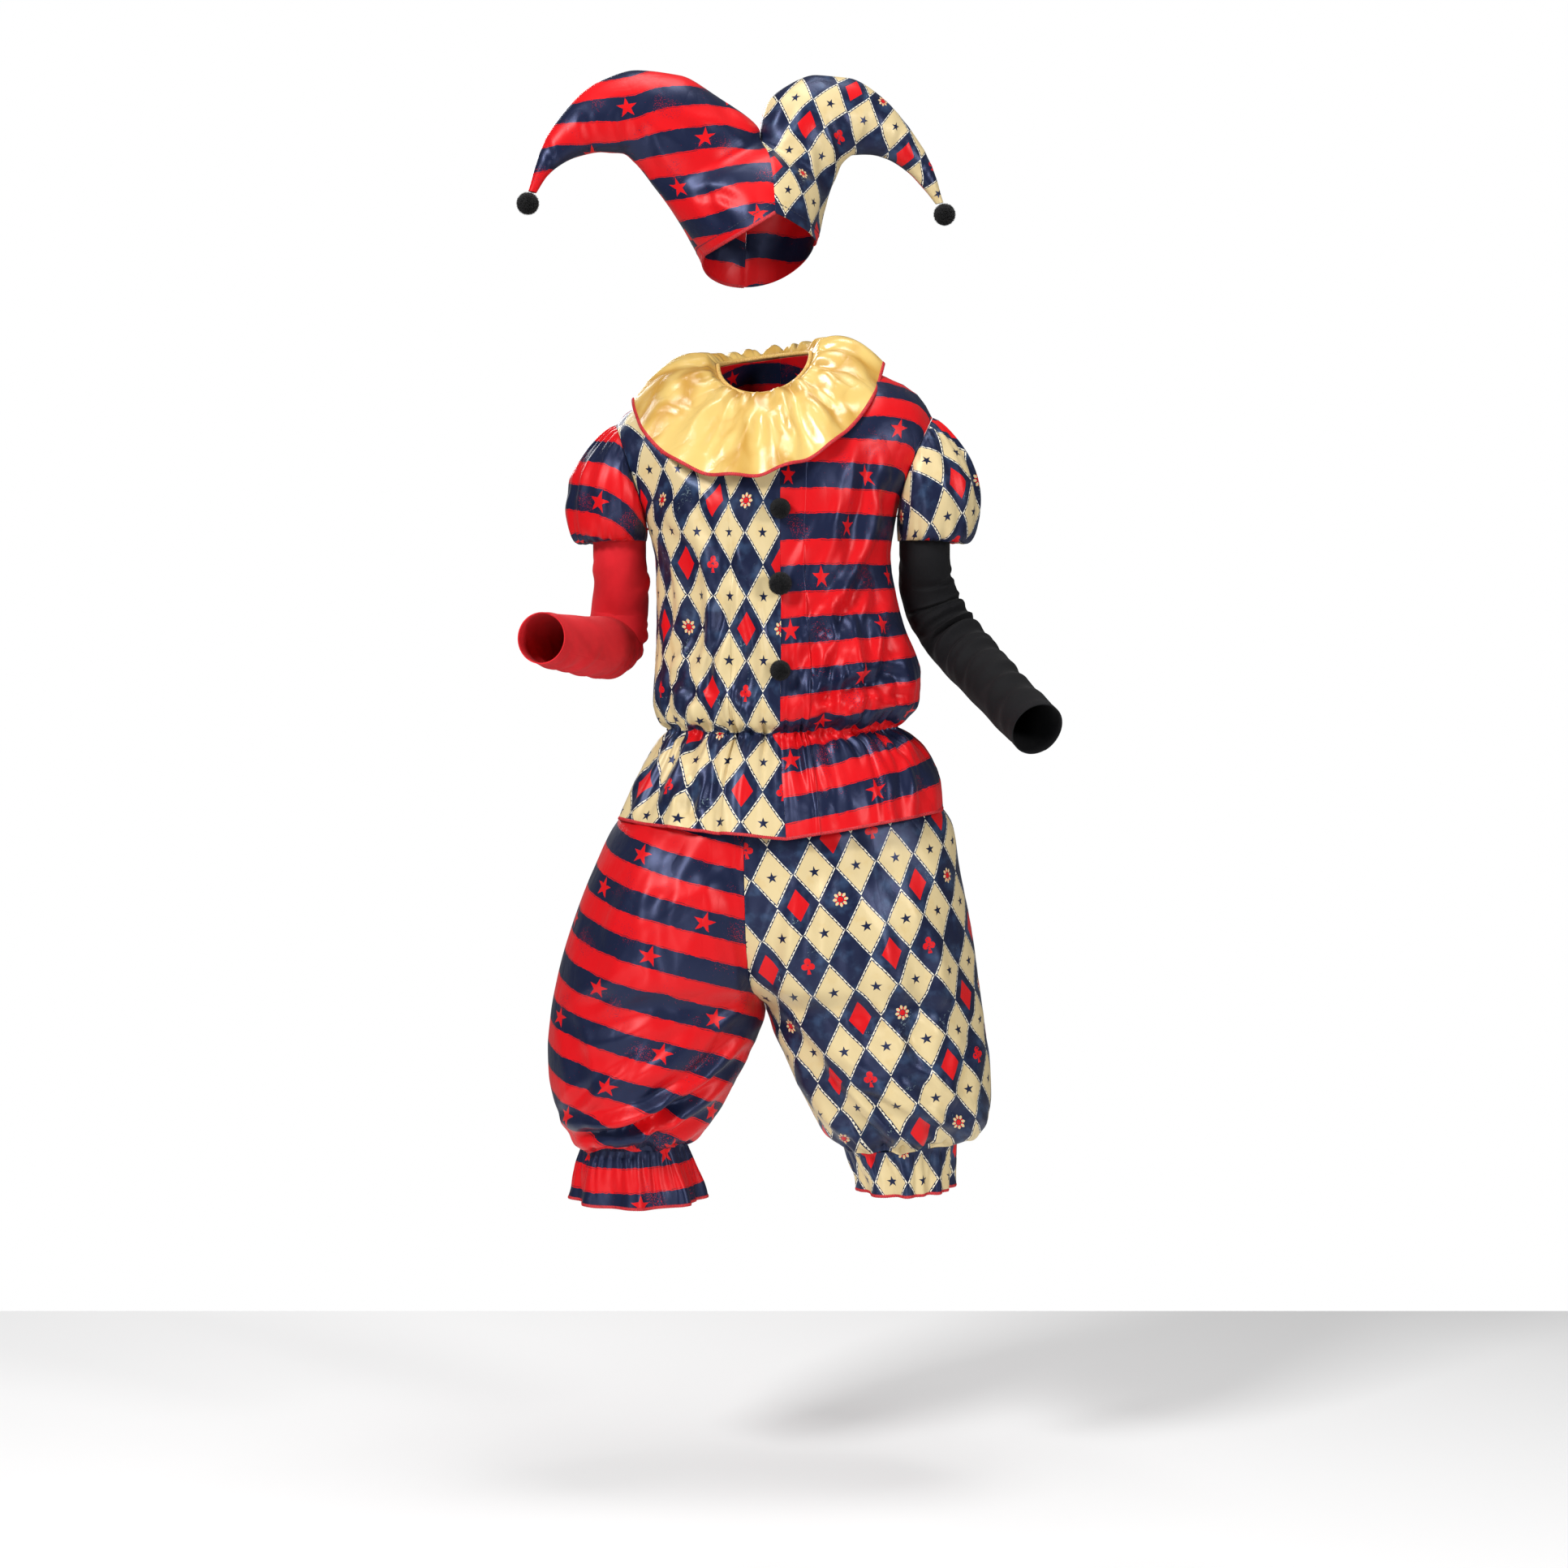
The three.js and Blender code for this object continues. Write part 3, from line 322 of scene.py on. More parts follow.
def shell(name, grid, ring, outward, thickness, cloth, finish, seam=None, move=None):
    """A thin shell of cloth. cloth holds each point's place on the printed fabric, in metres."""
    normal = normals_of(grid, ring, outward)
    if seam is not None:
        normal = seam(normal)
        normal = normal / np.maximum(np.linalg.norm(normal, axis=2, keepdims=True), 1e-9)
    rows, columns = grid.shape[0] - 1, grid.shape[1] - 1
    used = columns if ring else columns + 1
    layers = [grid[:, :used], grid[:, :used] - normal[:, :used] * thickness]
    if move is not None:
        layers = [move(layer) for layer in layers]
    places = np.concatenate([layer.reshape(-1, 3) for layer in layers]) * MM
    inside = used * (rows + 1)

    def corner(row, column):
        return row * used + column % used

    row, column = (a.ravel() for a in np.meshgrid(np.arange(rows), np.arange(columns), indexing="ij"))
    outer = np.stack([corner(row, column), corner(row, column + 1),
                      corner(row + 1, column + 1), corner(row + 1, column)], axis=1)
    stations = np.stack([row * (columns + 1) + column, row * (columns + 1) + column + 1,
                         (row + 1) * (columns + 1) + column + 1, (row + 1) * (columns + 1) + column], axis=1)
    faces = [outer, outer[:, ::-1] + inside]
    prints = [stations, stations[:, ::-1]]

    def rim(a, b, flip):
        quads = np.stack([corner(*b), corner(*a), corner(*a) + inside, corner(*b) + inside], axis=1)
        flat = [row * (columns + 1) + column for row, column in (b, a, a, b)]
        marks = np.stack(flat, axis=1)
        faces.append(quads[:, ::-1] if flip else quads)
        prints.append(marks[:, ::-1] if flip else marks)

    line = np.arange(columns)
    first, last = np.zeros(columns, int), np.full(columns, rows)
    rim((first, line), (first, line + 1), False)
    rim((last, line), (last, line + 1), True)
    if not ring:
        line = np.arange(rows)
        first, last = np.zeros(rows, int), np.full(rows, columns)
        rim((line, first), (line + 1, first), True)
        rim((line, last), (line + 1, last), False)
    faces, prints = np.concatenate(faces), np.concatenate(prints)
    first, second, third = (places[faces[:, index]] for index in range(3))
    if np.einsum("ij,ij->i", first, np.cross(second, third)).sum() < 0:
        faces, prints = faces[:, ::-1], prints[:, ::-1]

    piece = new_piece(name, places, faces.tolist(), finish)
    on_print = cloth.reshape(-1, 2)[prints.ravel()].ravel()
    piece.data.uv_layers.new(name="cloth").data.foreach_set("uv", on_print)
    piece.data.shade_smooth()
    piece.data.set_sharp_from_angle(angle=math.radians(60))
    side = grid[:, :used]
    diagonals = np.cross(side[1:, 1:] - side[:-1, :-1], side[1:, :-1] - side[:-1, 1:])
    area = np.linalg.norm(diagonals, axis=2).sum() / 2 * MM ** 2
    cut_pieces.append((name, round(float(area), 4), len(faces) * 2))
    return piece


# %% [markdown]
# A print lies on flat cloth, so each point needs its place on that flat cloth. Across a piece it
# is the share of the row's length times the width the piece was cut to: where elastic gathers the
# cloth, the print is squeezed sideways, just as it is on the real garment. Along a piece it is the
# true length walked down the column from one level row. Only on the legs it is the plain height,
# because their stripes run straight into the seams.

# %% Place on the printed cloth
def cloth_of(grid, start_column=0, start_row=0, width=None, side=1, up=1, turn=0.0, shift=(0.0, 0.0)):
    """Print places in metres: side and up say which way the columns and rows run, seen from outside."""
    across = np.cumsum(np.linalg.norm(np.diff(grid, axis=1, prepend=grid[:, :1]), axis=2), axis=1)
    along = np.cumsum(np.linalg.norm(np.diff(grid, axis=0, prepend=grid[:1]), axis=2), axis=0)
    if width is not None:
        across = across / across[:, -1:] * width
    across = across - across[:, start_column:start_column + 1]
    along = along - along[start_row:start_row + 1]
    return turned(np.stack([side * across, up * along], axis=-1) * MM, turn, shift)


def turned(cloth, turn, shift):
    cos, sin = math.cos(math.radians(turn)), math.sin(math.radians(turn))
    x, y = cloth[..., 0], cloth[..., 1]
    return np.stack([x * cos - y * sin + shift[0] * MM, x * sin + y * cos + shift[1] * MM], axis=-1)


# %% [markdown]
# Creases are listed one by one. Each is a line from one point to another, seen square from the front,
# with a bow to one side, a width and a depth. Its section is a soft trough with a low ridge on
# either flank, because cloth that sinks in one place stands up beside it. Gathers are many short
# pleats that start at an elastic or a band, each a little unlike the next.

# %% Creases and gathers
def creases(lines, x, z):
    """Height of listed creases at front-view places; the depth is negative for a ridge."""
    total = np.zeros_like(x)
    for from_x, from_z, to_x, to_z, width, depth, bow in lines:
        run_x, run_z = to_x - from_x, to_z - from_z
        length = math.hypot(run_x, run_z)
        along = np.clip(((x - from_x) * run_x + (z - from_z) * run_z) / length ** 2, 0, 1)
        off = bow * 4 * along * (1 - along)
        near_x = from_x + along * run_x - off * run_z / length
        near_z = from_z + along * run_z + off * run_x / length
        away = np.hypot(x - near_x, z - near_z) / width
        fade = np.sin(math.pi * (0.06 + 0.88 * along)) ** 0.7
        trough = np.exp(-away ** 2) - 0.45 * np.exp(-((away - 1.55) / 0.6) ** 2)
        total -= depth * fade * trough
    return total


def small_folds(corners, heading, spread, count, depth, seed, length=(50, 120), width=(5, 9)):
    """Lines for creases: short ones scattered over a box, each near one heading in degrees."""
    draw = np.random.default_rng(seed)
    (from_x, from_z), (to_x, to_z) = corners
    lines = []
    for _ in range(count):
        x, z = mix(from_x, to_x, draw.random()), mix(from_z, to_z, draw.random())
        angle = math.radians(heading + draw.uniform(-spread, spread))
        half = draw.uniform(*length) / 2
        run_x, run_z = half * math.cos(angle), half * math.sin(angle)
        lines.append((x - run_x, z - run_z, x + run_x, z + run_z, draw.uniform(*width),
                      depth * draw.uniform(0.35, 1.0) * draw.choice((1, 1, -0.8)), draw.uniform(-8, 8)))
    return lines


def scattered(boxes, out_x, seed):
    """Small folds over a few boxes of a panel, given for the right side and mirrored for the left."""
    lines = []
    for index, (low, high, lean, spread, count, depth, length, width) in enumerate(boxes):
        corners = ((out_x * low[0], low[1]), (out_x * high[0], high[1]))
        own_seed = seed + 40 * index
        lines += small_folds(corners, 90 + out_x * lean, spread, count, depth, own_seed, length, width)
    return lines


def pleats(u, v, line, count, depth, length, seed, ring=False):
    """Height of short pleats that fade away from the row at v = line."""
    draw = np.random.default_rng(seed)
    step = 1 / count
    total = np.zeros_like(u)
    for index in range(count):
        middle = (index + 0.5 + draw.uniform(-0.22, 0.22)) * step
        width = step * draw.uniform(0.15, 0.27)
        deep = depth * draw.uniform(0.45, 1.0)
        reach = length * draw.uniform(0.45, 1.0)
        lean = draw.uniform(-0.25, 0.25) * step / reach
        away = u - middle - lean * (v - line)
        if ring:
            away = (away + 0.5) % 1 - 0.5
        grow = 1 + 0.5 * np.abs(v - line) / reach
        total -= deep * np.exp(-(away / (width * grow)) ** 2) * np.exp(-np.abs(v - line) / reach)
    return total


def drift(x, z, size, height, seed):
    """Low uneven swells, so that no broad surface is perfectly fair."""
    draw = np.random.default_rng(seed)
    total = np.zeros_like(x)
    for _ in range(6):
        angle = draw.uniform(0, math.pi)
        wave = 2 * math.pi / (size * draw.uniform(0.7, 1.7))
        total += np.sin(wave * (x * math.cos(angle) + z * math.sin(angle)) + draw.uniform(0, 6.28))
    return height * total / 6

# %% [markdown]
# Both prints carry five-point stars. A star is simple once the plane is folded: measure the angle
# round the middle, fold it back and forth every 36 degrees, and all ten edges become one straight
# line from a tip to an inner corner. The group needs only the distance to that line.

# %% Shader group: five-point star
def build_star_group():
    tree, given, result = new_group(
        "Five-point star", [("Across", "value"), ("Up", "value"), ("Reach", "value")], [("Star", "value")])
    angle = maths(tree, "ARCTAN2", given["Across"], given["Up"])
    folded = maths(tree, "PINGPONG", angle, math.pi / 5)
    radius = distance(tree, given["Across"], given["Up"])
    sideways = maths(tree, "MULTIPLY", maths(tree, "SINE", folded), radius)
    upward = maths(tree, "MULTIPLY", maths(tree, "COSINE", folded), radius)
    line = maths(tree, "MULTIPLY_ADD", sideways, 0.951, maths(tree, "MULTIPLY", upward, 0.309))
    edge = maths(tree, "MULTIPLY", given["Reach"], 0.309)
    tree.links.new(maths(tree, "LESS_THAN", line, edge), result["Star"])
    return tree


star_group = build_star_group()

# %% [markdown]
# The striped satin is printed red and navy, 35 mm each, and made to look worn: the edges of the
# bands are ragged, a thin broken line follows them, and flecks of each colour are
# scattered in the other. Real ink does this where the screen lifts. Here noise moves the height at
# which the bands change, and two finer noises with a high threshold make the flecks.

# %% Shader group: worn stripes
band_pair = 0.070
star_pitch = 0.173
star_step = 0.058
star_reach = 0.0165


def build_stripe_group():
    tree, given, result = new_group(
        "Worn stripes", [("Cloth", "vector")], [("Red", "value"), ("Line", "value"), ("Fleck", "value")])
    split = tree.nodes.new("ShaderNodeSeparateXYZ")
    tree.links.new(given["Cloth"], split.inputs[0])
    rough_edge = noise_of(tree, given["Cloth"], 90, 3, 0.65)
    slow_edge = noise_of(tree, given["Cloth"], 14, 1)
    moved = maths(tree, "MULTIPLY_ADD", maths(tree, "SUBTRACT", rough_edge, 0.5), 0.0052, split.outputs["Y"])
    moved = maths(tree, "MULTIPLY_ADD", maths(tree, "SUBTRACT", slow_edge, 0.5), 0.0030, moved)
    height = maths(tree, "DIVIDE", moved, band_pair)
    number = maths(tree, "FLOOR", height)
    share = maths(tree, "FRACT", height)
    band = maths(tree, "LESS_THAN", share, 0.5)

    stepped = maths(tree, "MULTIPLY_ADD", number, -star_step, split.outputs["X"])
    sideways = maths(tree, "DIVIDE", stepped, star_pitch)
    across = maths(tree, "MULTIPLY", maths(tree, "SUBTRACT", maths(tree, "FRACT", sideways), 0.5), star_pitch)
    up = maths(tree, "MULTIPLY", maths(tree, "SUBTRACT", share, 0.755), band_pair)
    star = placed_group(tree, star_group, Across=across, Up=up, Reach=star_reach)["Star"]
    tree.links.new(maths(tree, "MAXIMUM", band, star), result["Red"])

    from_edge = maths(tree, "MULTIPLY", maths(tree, "PINGPONG", share, 0.25), band_pair)
    near = maths(tree, "MULTIPLY", maths(tree, "COMPARE", from_edge, 0.0016, 0.00042), band)
    broken = maths(tree, "GREATER_THAN", noise_of(tree, given["Cloth"], 45, 3), 0.44)
    tree.links.new(maths(tree, "MULTIPLY", near, broken), result["Line"])

    patches = soft_step(tree, noise_of(tree, given["Cloth"], 17, 1), 0.50, 0.70)
    grains = noise_of(tree, stretched(tree, given["Cloth"], (1, 1.8, 1)), 430, 2, 0.7)
    limit = maths(tree, "MULTIPLY_ADD", patches, -0.13, 0.735)
    tree.links.new(maths(tree, "GREATER_THAN", grains, limit), result["Fleck"])
    return tree


stripe_group = build_stripe_group()

# %% [markdown]
# The other satin is a harlequin of lozenges, 58 by 86 mm. Cream ones hold a small navy star, and
# each has a fine dark outline and a row of printed white stitches round it. In the navy ones
# between them, a red lozenge comes back every third time, and a rosette and a card club fill some
# of the others. The distance from a lozenge's middle is the sum of its two shares, so one number
# draws the outline, the stitches and the lozenge itself.

# %% Shader group: harlequin lozenges
lozenge_width = 0.058
lozenge_height = 0.086
share_for_mm = 0.001 * math.hypot(1 / lozenge_width, 1 / lozenge_height)
stitch_pitch = 0.0062


def build_lozenge_group():
    tree, given, result = new_group(
        "Harlequin lozenges", [("Cloth", "vector")],
        [("Cream", "value"), ("White", "value"), ("Navy", "value"), ("Red", "value"), ("Worn", "value")])
    split = tree.nodes.new("ShaderNodeSeparateXYZ")
    tree.links.new(given["Cloth"], split.inputs[0])
    wobble = maths(tree, "SUBTRACT", noise_of(tree, given["Cloth"], 55, 3, 0.6), 0.5)
    x = maths(tree, "DIVIDE", maths(tree, "MULTIPLY_ADD", wobble, 0.0011, split.outputs["X"]), lozenge_width)
    y = maths(tree, "DIVIDE", maths(tree, "MULTIPLY_ADD", wobble, 0.0011, split.outputs["Y"]), lozenge_height)

    def centred(value):
        return maths(tree, "SUBTRACT", maths(tree, "FRACT", value), 0.5)

    def reach(a, b):
        return maths(tree, "ADD", maths(tree, "ABSOLUTE", a), maths(tree, "ABSOLUTE", b))

    across, up = centred(x), centred(y)
    from_edge = maths(tree, "SUBTRACT", 0.5, reach(across, up))
    inside = maths(tree, "GREATER_THAN", from_edge, 0)
    outline_inner, outline_outer, stitch_outer = (share_for_mm * mm for mm in (2.9, 1.9, 0.35))
    cream = maths(tree, "GREATER_THAN", from_edge, outline_inner)
    on_line = maths(tree, "MULTIPLY", maths(tree, "LESS_THAN", from_edge, outline_outer),
                    maths(tree, "GREATER_THAN", from_edge, stitch_outer))
    along = maths(tree, "FRACT", maths(tree, "DIVIDE", split.outputs["Y"], stitch_pitch))
    dashes = maths(tree, "LESS_THAN", along, 0.66)
    thread = maths(tree, "LESS_THAN", from_edge, share_for_mm * 0.9)
    white = maths(tree, "MULTIPLY", on_line, maths(tree, "MAXIMUM", dashes, thread))

    across_m = maths(tree, "MULTIPLY", across, lozenge_width)
    up_m = maths(tree, "MULTIPLY", up, lozenge_height)
    star = placed_group(tree, star_group, Across=across_m, Up=up_m, Reach=0.0082)["Star"]

    navy_x, navy_y = maths(tree, "ADD", x, 0.5), maths(tree, "ADD", y, 0.5)
    column, row = maths(tree, "FLOOR", navy_x), maths(tree, "FLOOR", navy_y)
    navy_across, navy_up = centred(navy_x), centred(navy_y)
    kind = maths(tree, "FLOORED_MODULO", maths(tree, "MULTIPLY_ADD", row, 2, column), 3)
    other = maths(tree, "FLOORED_MODULO", row, 2)
    red_lozenge = maths(tree, "MULTIPLY", maths(tree, "LESS_THAN", reach(navy_across, navy_up), 0.265),
                        maths(tree, "COMPARE", kind, 0, 0.1))

    motif = maths(tree, "MULTIPLY", maths(tree, "COMPARE", kind, 1, 0.1), maths(tree, "SUBTRACT", 1, inside))
    gx = maths(tree, "MULTIPLY", navy_across, lozenge_width * 1000)
    gy = maths(tree, "MULTIPLY", navy_up, lozenge_height * 1000)
    radius = distance(tree, gx, gy)
    wave = maths(tree, "COSINE", maths(tree, "MULTIPLY", maths(tree, "ARCTAN2", gx, gy), 8))
    petal_edge = maths(tree, "MULTIPLY_ADD", wave, 1.5, 9.3)
    petals = maths(tree, "LESS_THAN", radius, petal_edge)
    petal_gap = maths(tree, "LESS_THAN", wave, -0.35)
    heart = maths(tree, "LESS_THAN", radius, 4.0)
    rosette_here = maths(tree, "MULTIPLY", motif, maths(tree, "COMPARE", other, 0, 0.1))
    rosette_ring = maths(tree, "MULTIPLY", petals, maths(tree, "GREATER_THAN", radius, 5.0))
    rosette_cream = maths(tree, "MULTIPLY", maths(tree, "MULTIPLY", rosette_ring, rosette_here),
                          maths(tree, "SUBTRACT", 1, petal_gap))
    rosette_red = maths(tree, "MULTIPLY", rosette_here, maths(
        tree, "MAXIMUM", heart, maths(tree, "MULTIPLY", rosette_ring, petal_gap)))

    def disc(middle_x, middle_y, size):
        away = distance(tree, maths(tree, "SUBTRACT", gx, middle_x), maths(tree, "SUBTRACT", gy, middle_y))
        return maths(tree, "LESS_THAN", away, size)

    lower_leaves = maths(tree, "MAXIMUM", disc(-4.9, -1, 4.6), disc(4.9, -1, 4.6))
    leaves = maths(tree, "MAXIMUM", disc(0, 6.5, 4.6), lower_leaves)
    stem_width = maths(tree, "MULTIPLY_ADD", gy, -0.24, 0.2)
    stem = maths(tree, "MULTIPLY", maths(tree, "LESS_THAN", maths(tree, "ABSOLUTE", gx), stem_width),
                 maths(tree, "GREATER_THAN", gy, -12))
    club = maths(tree, "MULTIPLY", maths(tree, "MAXIMUM", leaves, stem),
                 maths(tree, "MULTIPLY", motif, maths(tree, "COMPARE", other, 1, 0.1)))

    worn_red = maths(tree, "LESS_THAN", noise_of(tree, given["Cloth"], 150, 3, 0.7), 0.60)
    red = maths(tree, "MAXIMUM", red_lozenge, maths(
        tree, "MAXIMUM", rosette_red, maths(tree, "MULTIPLY", club, worn_red)))
    outside = maths(tree, "SUBTRACT", 1, inside)
    tree.links.new(maths(tree, "MAXIMUM", cream, rosette_cream), result["Cream"])
    tree.links.new(maths(tree, "MULTIPLY", white, inside), result["White"])
    tree.links.new(maths(tree, "MULTIPLY", star, cream), result["Navy"])
    tree.links.new(maths(tree, "MULTIPLY", red, outside), result["Red"])

    scuffs = noise_of(tree, given["Cloth"], 260, 4, 0.75)
    places = soft_step(tree, noise_of(tree, given["Cloth"], 24, 2), 0.52, 0.72)
    limit = maths(tree, "MULTIPLY_ADD", places, -0.15, 0.72)
    tree.links.new(maths(tree, "GREATER_THAN", scuffs, limit), result["Worn"])
    return tree


lozenge_group = build_lozenge_group()

# %% [markdown]
# Thin satin is never quite smooth. Between the large creases it has a soft crinkle, drawn out in
# one direction, whose crests catch the light as pale lines, and under that the fine steps of the
# weave. Both are too small for the mesh, so they are a height that feeds a bump. The group also
# gives a mask of the crests, which the gold satin uses to paint its troughs darker as painted shade.

# %% Shader group: satin crinkle
def build_crinkle_group():
    tree, given, result = new_group(
        "Satin crinkle", [("Place", "vector"), ("Crumple", "value")],
        [("Height", "value"), ("Crest light", "value")])
    total = 0.0
    for scale, turn, weight in ((8, 0.5, 1.0), (14, -0.6, 0.7), (29, 0.9, 0.22)):
        turned_place = stretched(tree, given["Place"], (1, 1.9, 0.62), turn)
        field = noise_of(tree, turned_place, scale, 1.5, 0.4)
        crest = maths(tree, "ABSOLUTE", maths(tree, "SUBTRACT", field, 0.5))
        total = maths(tree, "MULTIPLY_ADD", crest, weight, total)
    height = maths(tree, "MULTIPLY", total, given["Crumple"])
    weave = noise_of(tree, stretched(tree, given["Place"], (1, 6, 1)), 900, 1)
    tree.links.new(maths(tree, "MULTIPLY_ADD", weave, 0.012, height), result["Height"])
    # A mask of the crests. The gold satin uses it to paint the troughs between them as painted shade.
    tree.links.new(soft_step(tree, total, 0.02, 0.22), result["Crest light"])
    return tree


crinkle_group = build_crinkle_group()

# %% Satin finishes
RED = colour(207, 14, 22)
NAVY = colour(17, 24, 49)
CREAM = colour(210, 190, 144)
INK = colour(16, 20, 36)
WHITE = colour(232, 226, 206)
TEAL = colour(128, 150, 158)
GOLD = colour(223, 190, 110)
# Painted shade: the darker gold that the gold satin lays in the troughs of its crinkle.
GOLD_PAINTED_SHADE = colour(192, 144, 58)


def start_finish(name):
    material = bpy.data.materials.new(name)
    material.use_nodes = True
    tree = material.node_tree
    return material, tree, tree.nodes["Principled BSDF"]


def bump(tree, shader, height, distance, strength=1.0):
    node = tree.nodes.new("ShaderNodeBump")
    node.inputs["Distance"].default_value = distance
    node.inputs["Strength"].default_value = strength
    put(tree, node.inputs["Height"], height)
    tree.links.new(node.outputs["Normal"], shader.inputs["Normal"])


def satin_base(name, crumple, roughness, distance):
    """A satin shader with its crinkle; the colour is linked by what calls it."""
    material, tree, shader = start_finish(name)
    place = tree.nodes.new("ShaderNodeTexCoord").outputs["Object"]
    crinkle = placed_group(tree, crinkle_group, Place=place, Crumple=crumple)
    bump(tree, shader, crinkle["Height"], distance)
    gloss = maths(tree, "MULTIPLY_ADD", noise_of(tree, place, 22, 2), 0.10, roughness - 0.05)
    tree.links.new(gloss, shader.inputs["Roughness"])
    shader.inputs["Specular IOR Level"].default_value = 0.5
    shader.inputs["Sheen Weight"].default_value = 0.04
    shader.inputs["Sheen Roughness"].default_value = 0.4
    cloth = tree.nodes.new("ShaderNodeUVMap")
    cloth.uv_map = "cloth"
    return material, tree, shader, cloth.outputs["UV"], crinkle


def tinted(tree, shader, colours):
    """Dyed satin thread colours what it reflects, so the lights on navy are blue."""
    split = tree.nodes.new("ShaderNodeSeparateColor")
    split.mode = "HSV"
    tree.links.new(colours, split.inputs[0])
    join = tree.nodes.new("ShaderNodeCombineColor")
    join.mode = "HSV"
    tree.links.new(split.outputs[0], join.inputs[0])
    tree.links.new(maths(tree, "MULTIPLY", split.outputs[1], 0.6), join.inputs[1])
    join.inputs[2].default_value = 1.0
    tree.links.new(join.outputs[0], shader.inputs["Specular Tint"])


def striped_satin():
    material, tree, shader, cloth, _ = satin_base("striped satin", 1.0, 0.37, 0.006)
    print_of = placed_group(tree, stripe_group, Cloth=cloth)
    colours = mixed(tree, print_of["Red"], NAVY, RED)
    other = mixed(tree, print_of["Red"], RED, NAVY)
    colours = mixed(tree, print_of["Fleck"], colours, other)
    colours = mixed(tree, maths(tree, "MULTIPLY", print_of["Line"], 0.75), colours, INK)
    tree.links.new(colours, shader.inputs["Base Color"])
    tinted(tree, shader, colours)
    return material


def lozenge_satin():
    material, tree, shader, cloth, _ = satin_base("lozenge satin", 1.0, 0.37, 0.006)
    print_of = placed_group(tree, lozenge_group, Cloth=cloth)
    faded = noise_of(tree, cloth, 40, 3)
    ground = mixed(tree, soft_step(tree, faded, 0.45, 0.75), NAVY, colour(44, 62, 92))
    scuffed = mixed(tree, maths(tree, "MULTIPLY", print_of["Worn"], 0.7), ground, TEAL)
    cream = mixed(tree, soft_step(tree, faded, 0.5, 0.8), CREAM, colour(205, 180, 128))
    colours = mixed(tree, print_of["Cream"], scuffed, cream)
    colours = mixed(tree, print_of["White"], colours, WHITE)
    colours = mixed(tree, print_of["Navy"], colours, NAVY)
    colours = mixed(tree, print_of["Red"], colours, RED)
    tree.links.new(colours, shader.inputs["Base Color"])
    tinted(tree, shader, colours)
    return material


def gold_satin():
    material, tree, shader, cloth, crinkle = satin_base("gold satin", 1.1, 0.24, 0.010)
    # Painted light: the crinkle's troughs are painted the darker gold as painted shade, so the crests stand
    # out lighter as painted highlights.
    colours = mixed(tree, crinkle["Crest light"], GOLD_PAINTED_SHADE, GOLD)
    tree.links.new(colours, shader.inputs["Base Color"])
    shader.inputs["Specular IOR Level"].default_value = 0.9
    shader.inputs["Coat Weight"].default_value = 0.25
    shader.inputs["Coat Roughness"].default_value = 0.16
    return material


finishes["striped satin"] = striped_satin()
finishes["lozenge satin"] = lozenge_satin()
finishes["gold satin"] = gold_satin()

# %% [markdown]
# The under-sleeves are a plain stretch knit, matt beside the satin. Its loops are
# about a millimetre wide, so they are only a fine bump with a little fuzz in the sheen. The
# overlocked edges are thread wound round and round, and the pompoms are loose yarn.

# %% Knit, thread and yarn finishes
def knit(name, shade, deep):
    material, tree, shader = start_finish(name)
    cloth = tree.nodes.new("ShaderNodeUVMap")
    cloth.uv_map = "cloth"
    waves = tree.nodes.new("ShaderNodeTexWave")
    waves.inputs["Scale"].default_value = 330
    waves.inputs["Distortion"].default_value = 1.2
    tree.links.new(cloth.outputs["UV"], waves.inputs["Vector"])
    fuzz = noise_of(tree, stretched(tree, cloth.outputs["UV"], (1, 0.5, 1)), 1500, 2)
    bump(tree, shader, maths(tree, "ADD", waves.outputs["Fac"], fuzz), 0.00025, 0.6)
    tone = noise_of(tree, cloth.outputs["UV"], 18, 3)
    tree.links.new(mixed(tree, soft_step(tree, tone, 0.3, 0.7), deep, shade), shader.inputs["Base Color"])
    tree.links.new(maths(tree, "MULTIPLY_ADD", fuzz, 0.15, 0.68), shader.inputs["Roughness"])
    shader.inputs["Specular IOR Level"].default_value = 0.22
    shader.inputs["Sheen Weight"].default_value = 0.03
    shader.inputs["Sheen Roughness"].default_value = 0.5
    return material


def thread(name, shade, deep):
    """Thread and yarn: a fine noise gives the strands a bump, and painted shade where the bump is low."""
    material, tree, shader = start_finish(name)
    place = tree.nodes.new("ShaderNodeTexCoord").outputs["Object"]
    strands = noise_of(tree, place, 620, 3, 0.7)
    bump(tree, shader, strands, 0.0006, 0.8)
    # Painted shade: the darker thread colour lies where the strands' bump is low, between the strands.
    colours = mixed(tree, soft_step(tree, strands, 0.38, 0.62), deep, shade)
    tree.links.new(colours, shader.inputs["Base Color"])
    tree.links.new(maths(tree, "MULTIPLY_ADD", strands, 0.2, 0.5), shader.inputs["Roughness"])
    return material


finishes["red knit"] = knit("red knit", colour(214, 30, 40), colour(196, 22, 32))
finishes["black knit"] = knit("black knit", colour(9, 9, 13), colour(5, 5, 8))
finishes["red thread"] = thread("red thread", colour(206, 32, 42), colour(150, 14, 26))
finishes["gold thread"] = thread("gold thread", colour(238, 202, 124), colour(206, 158, 74))
finishes["navy thread"] = thread("navy thread", colour(40, 50, 78), colour(22, 28, 46))
finishes["black yarn"] = thread("black yarn", colour(17, 17, 20), colour(7, 7, 9))
print("finishes:", ", ".join(finishes))

# %% [markdown]
# The hat has four panels: a front and a back for each horn, joined down the middle and round the
# horns' edges. A horn is described by lines across it, from the brim, up to the valley between the
# horns, and out to the tip. Each line has an upper end, a lower end and a fullness, so the section
# is a soft lens that closes to nothing at the tip.

# %% Hat sizes
hat_turn = 13
hat_middle_x = -24.6
hat_pompom_radius = 16.4
seam_gap = 0.04
hat_thickness = 1.4

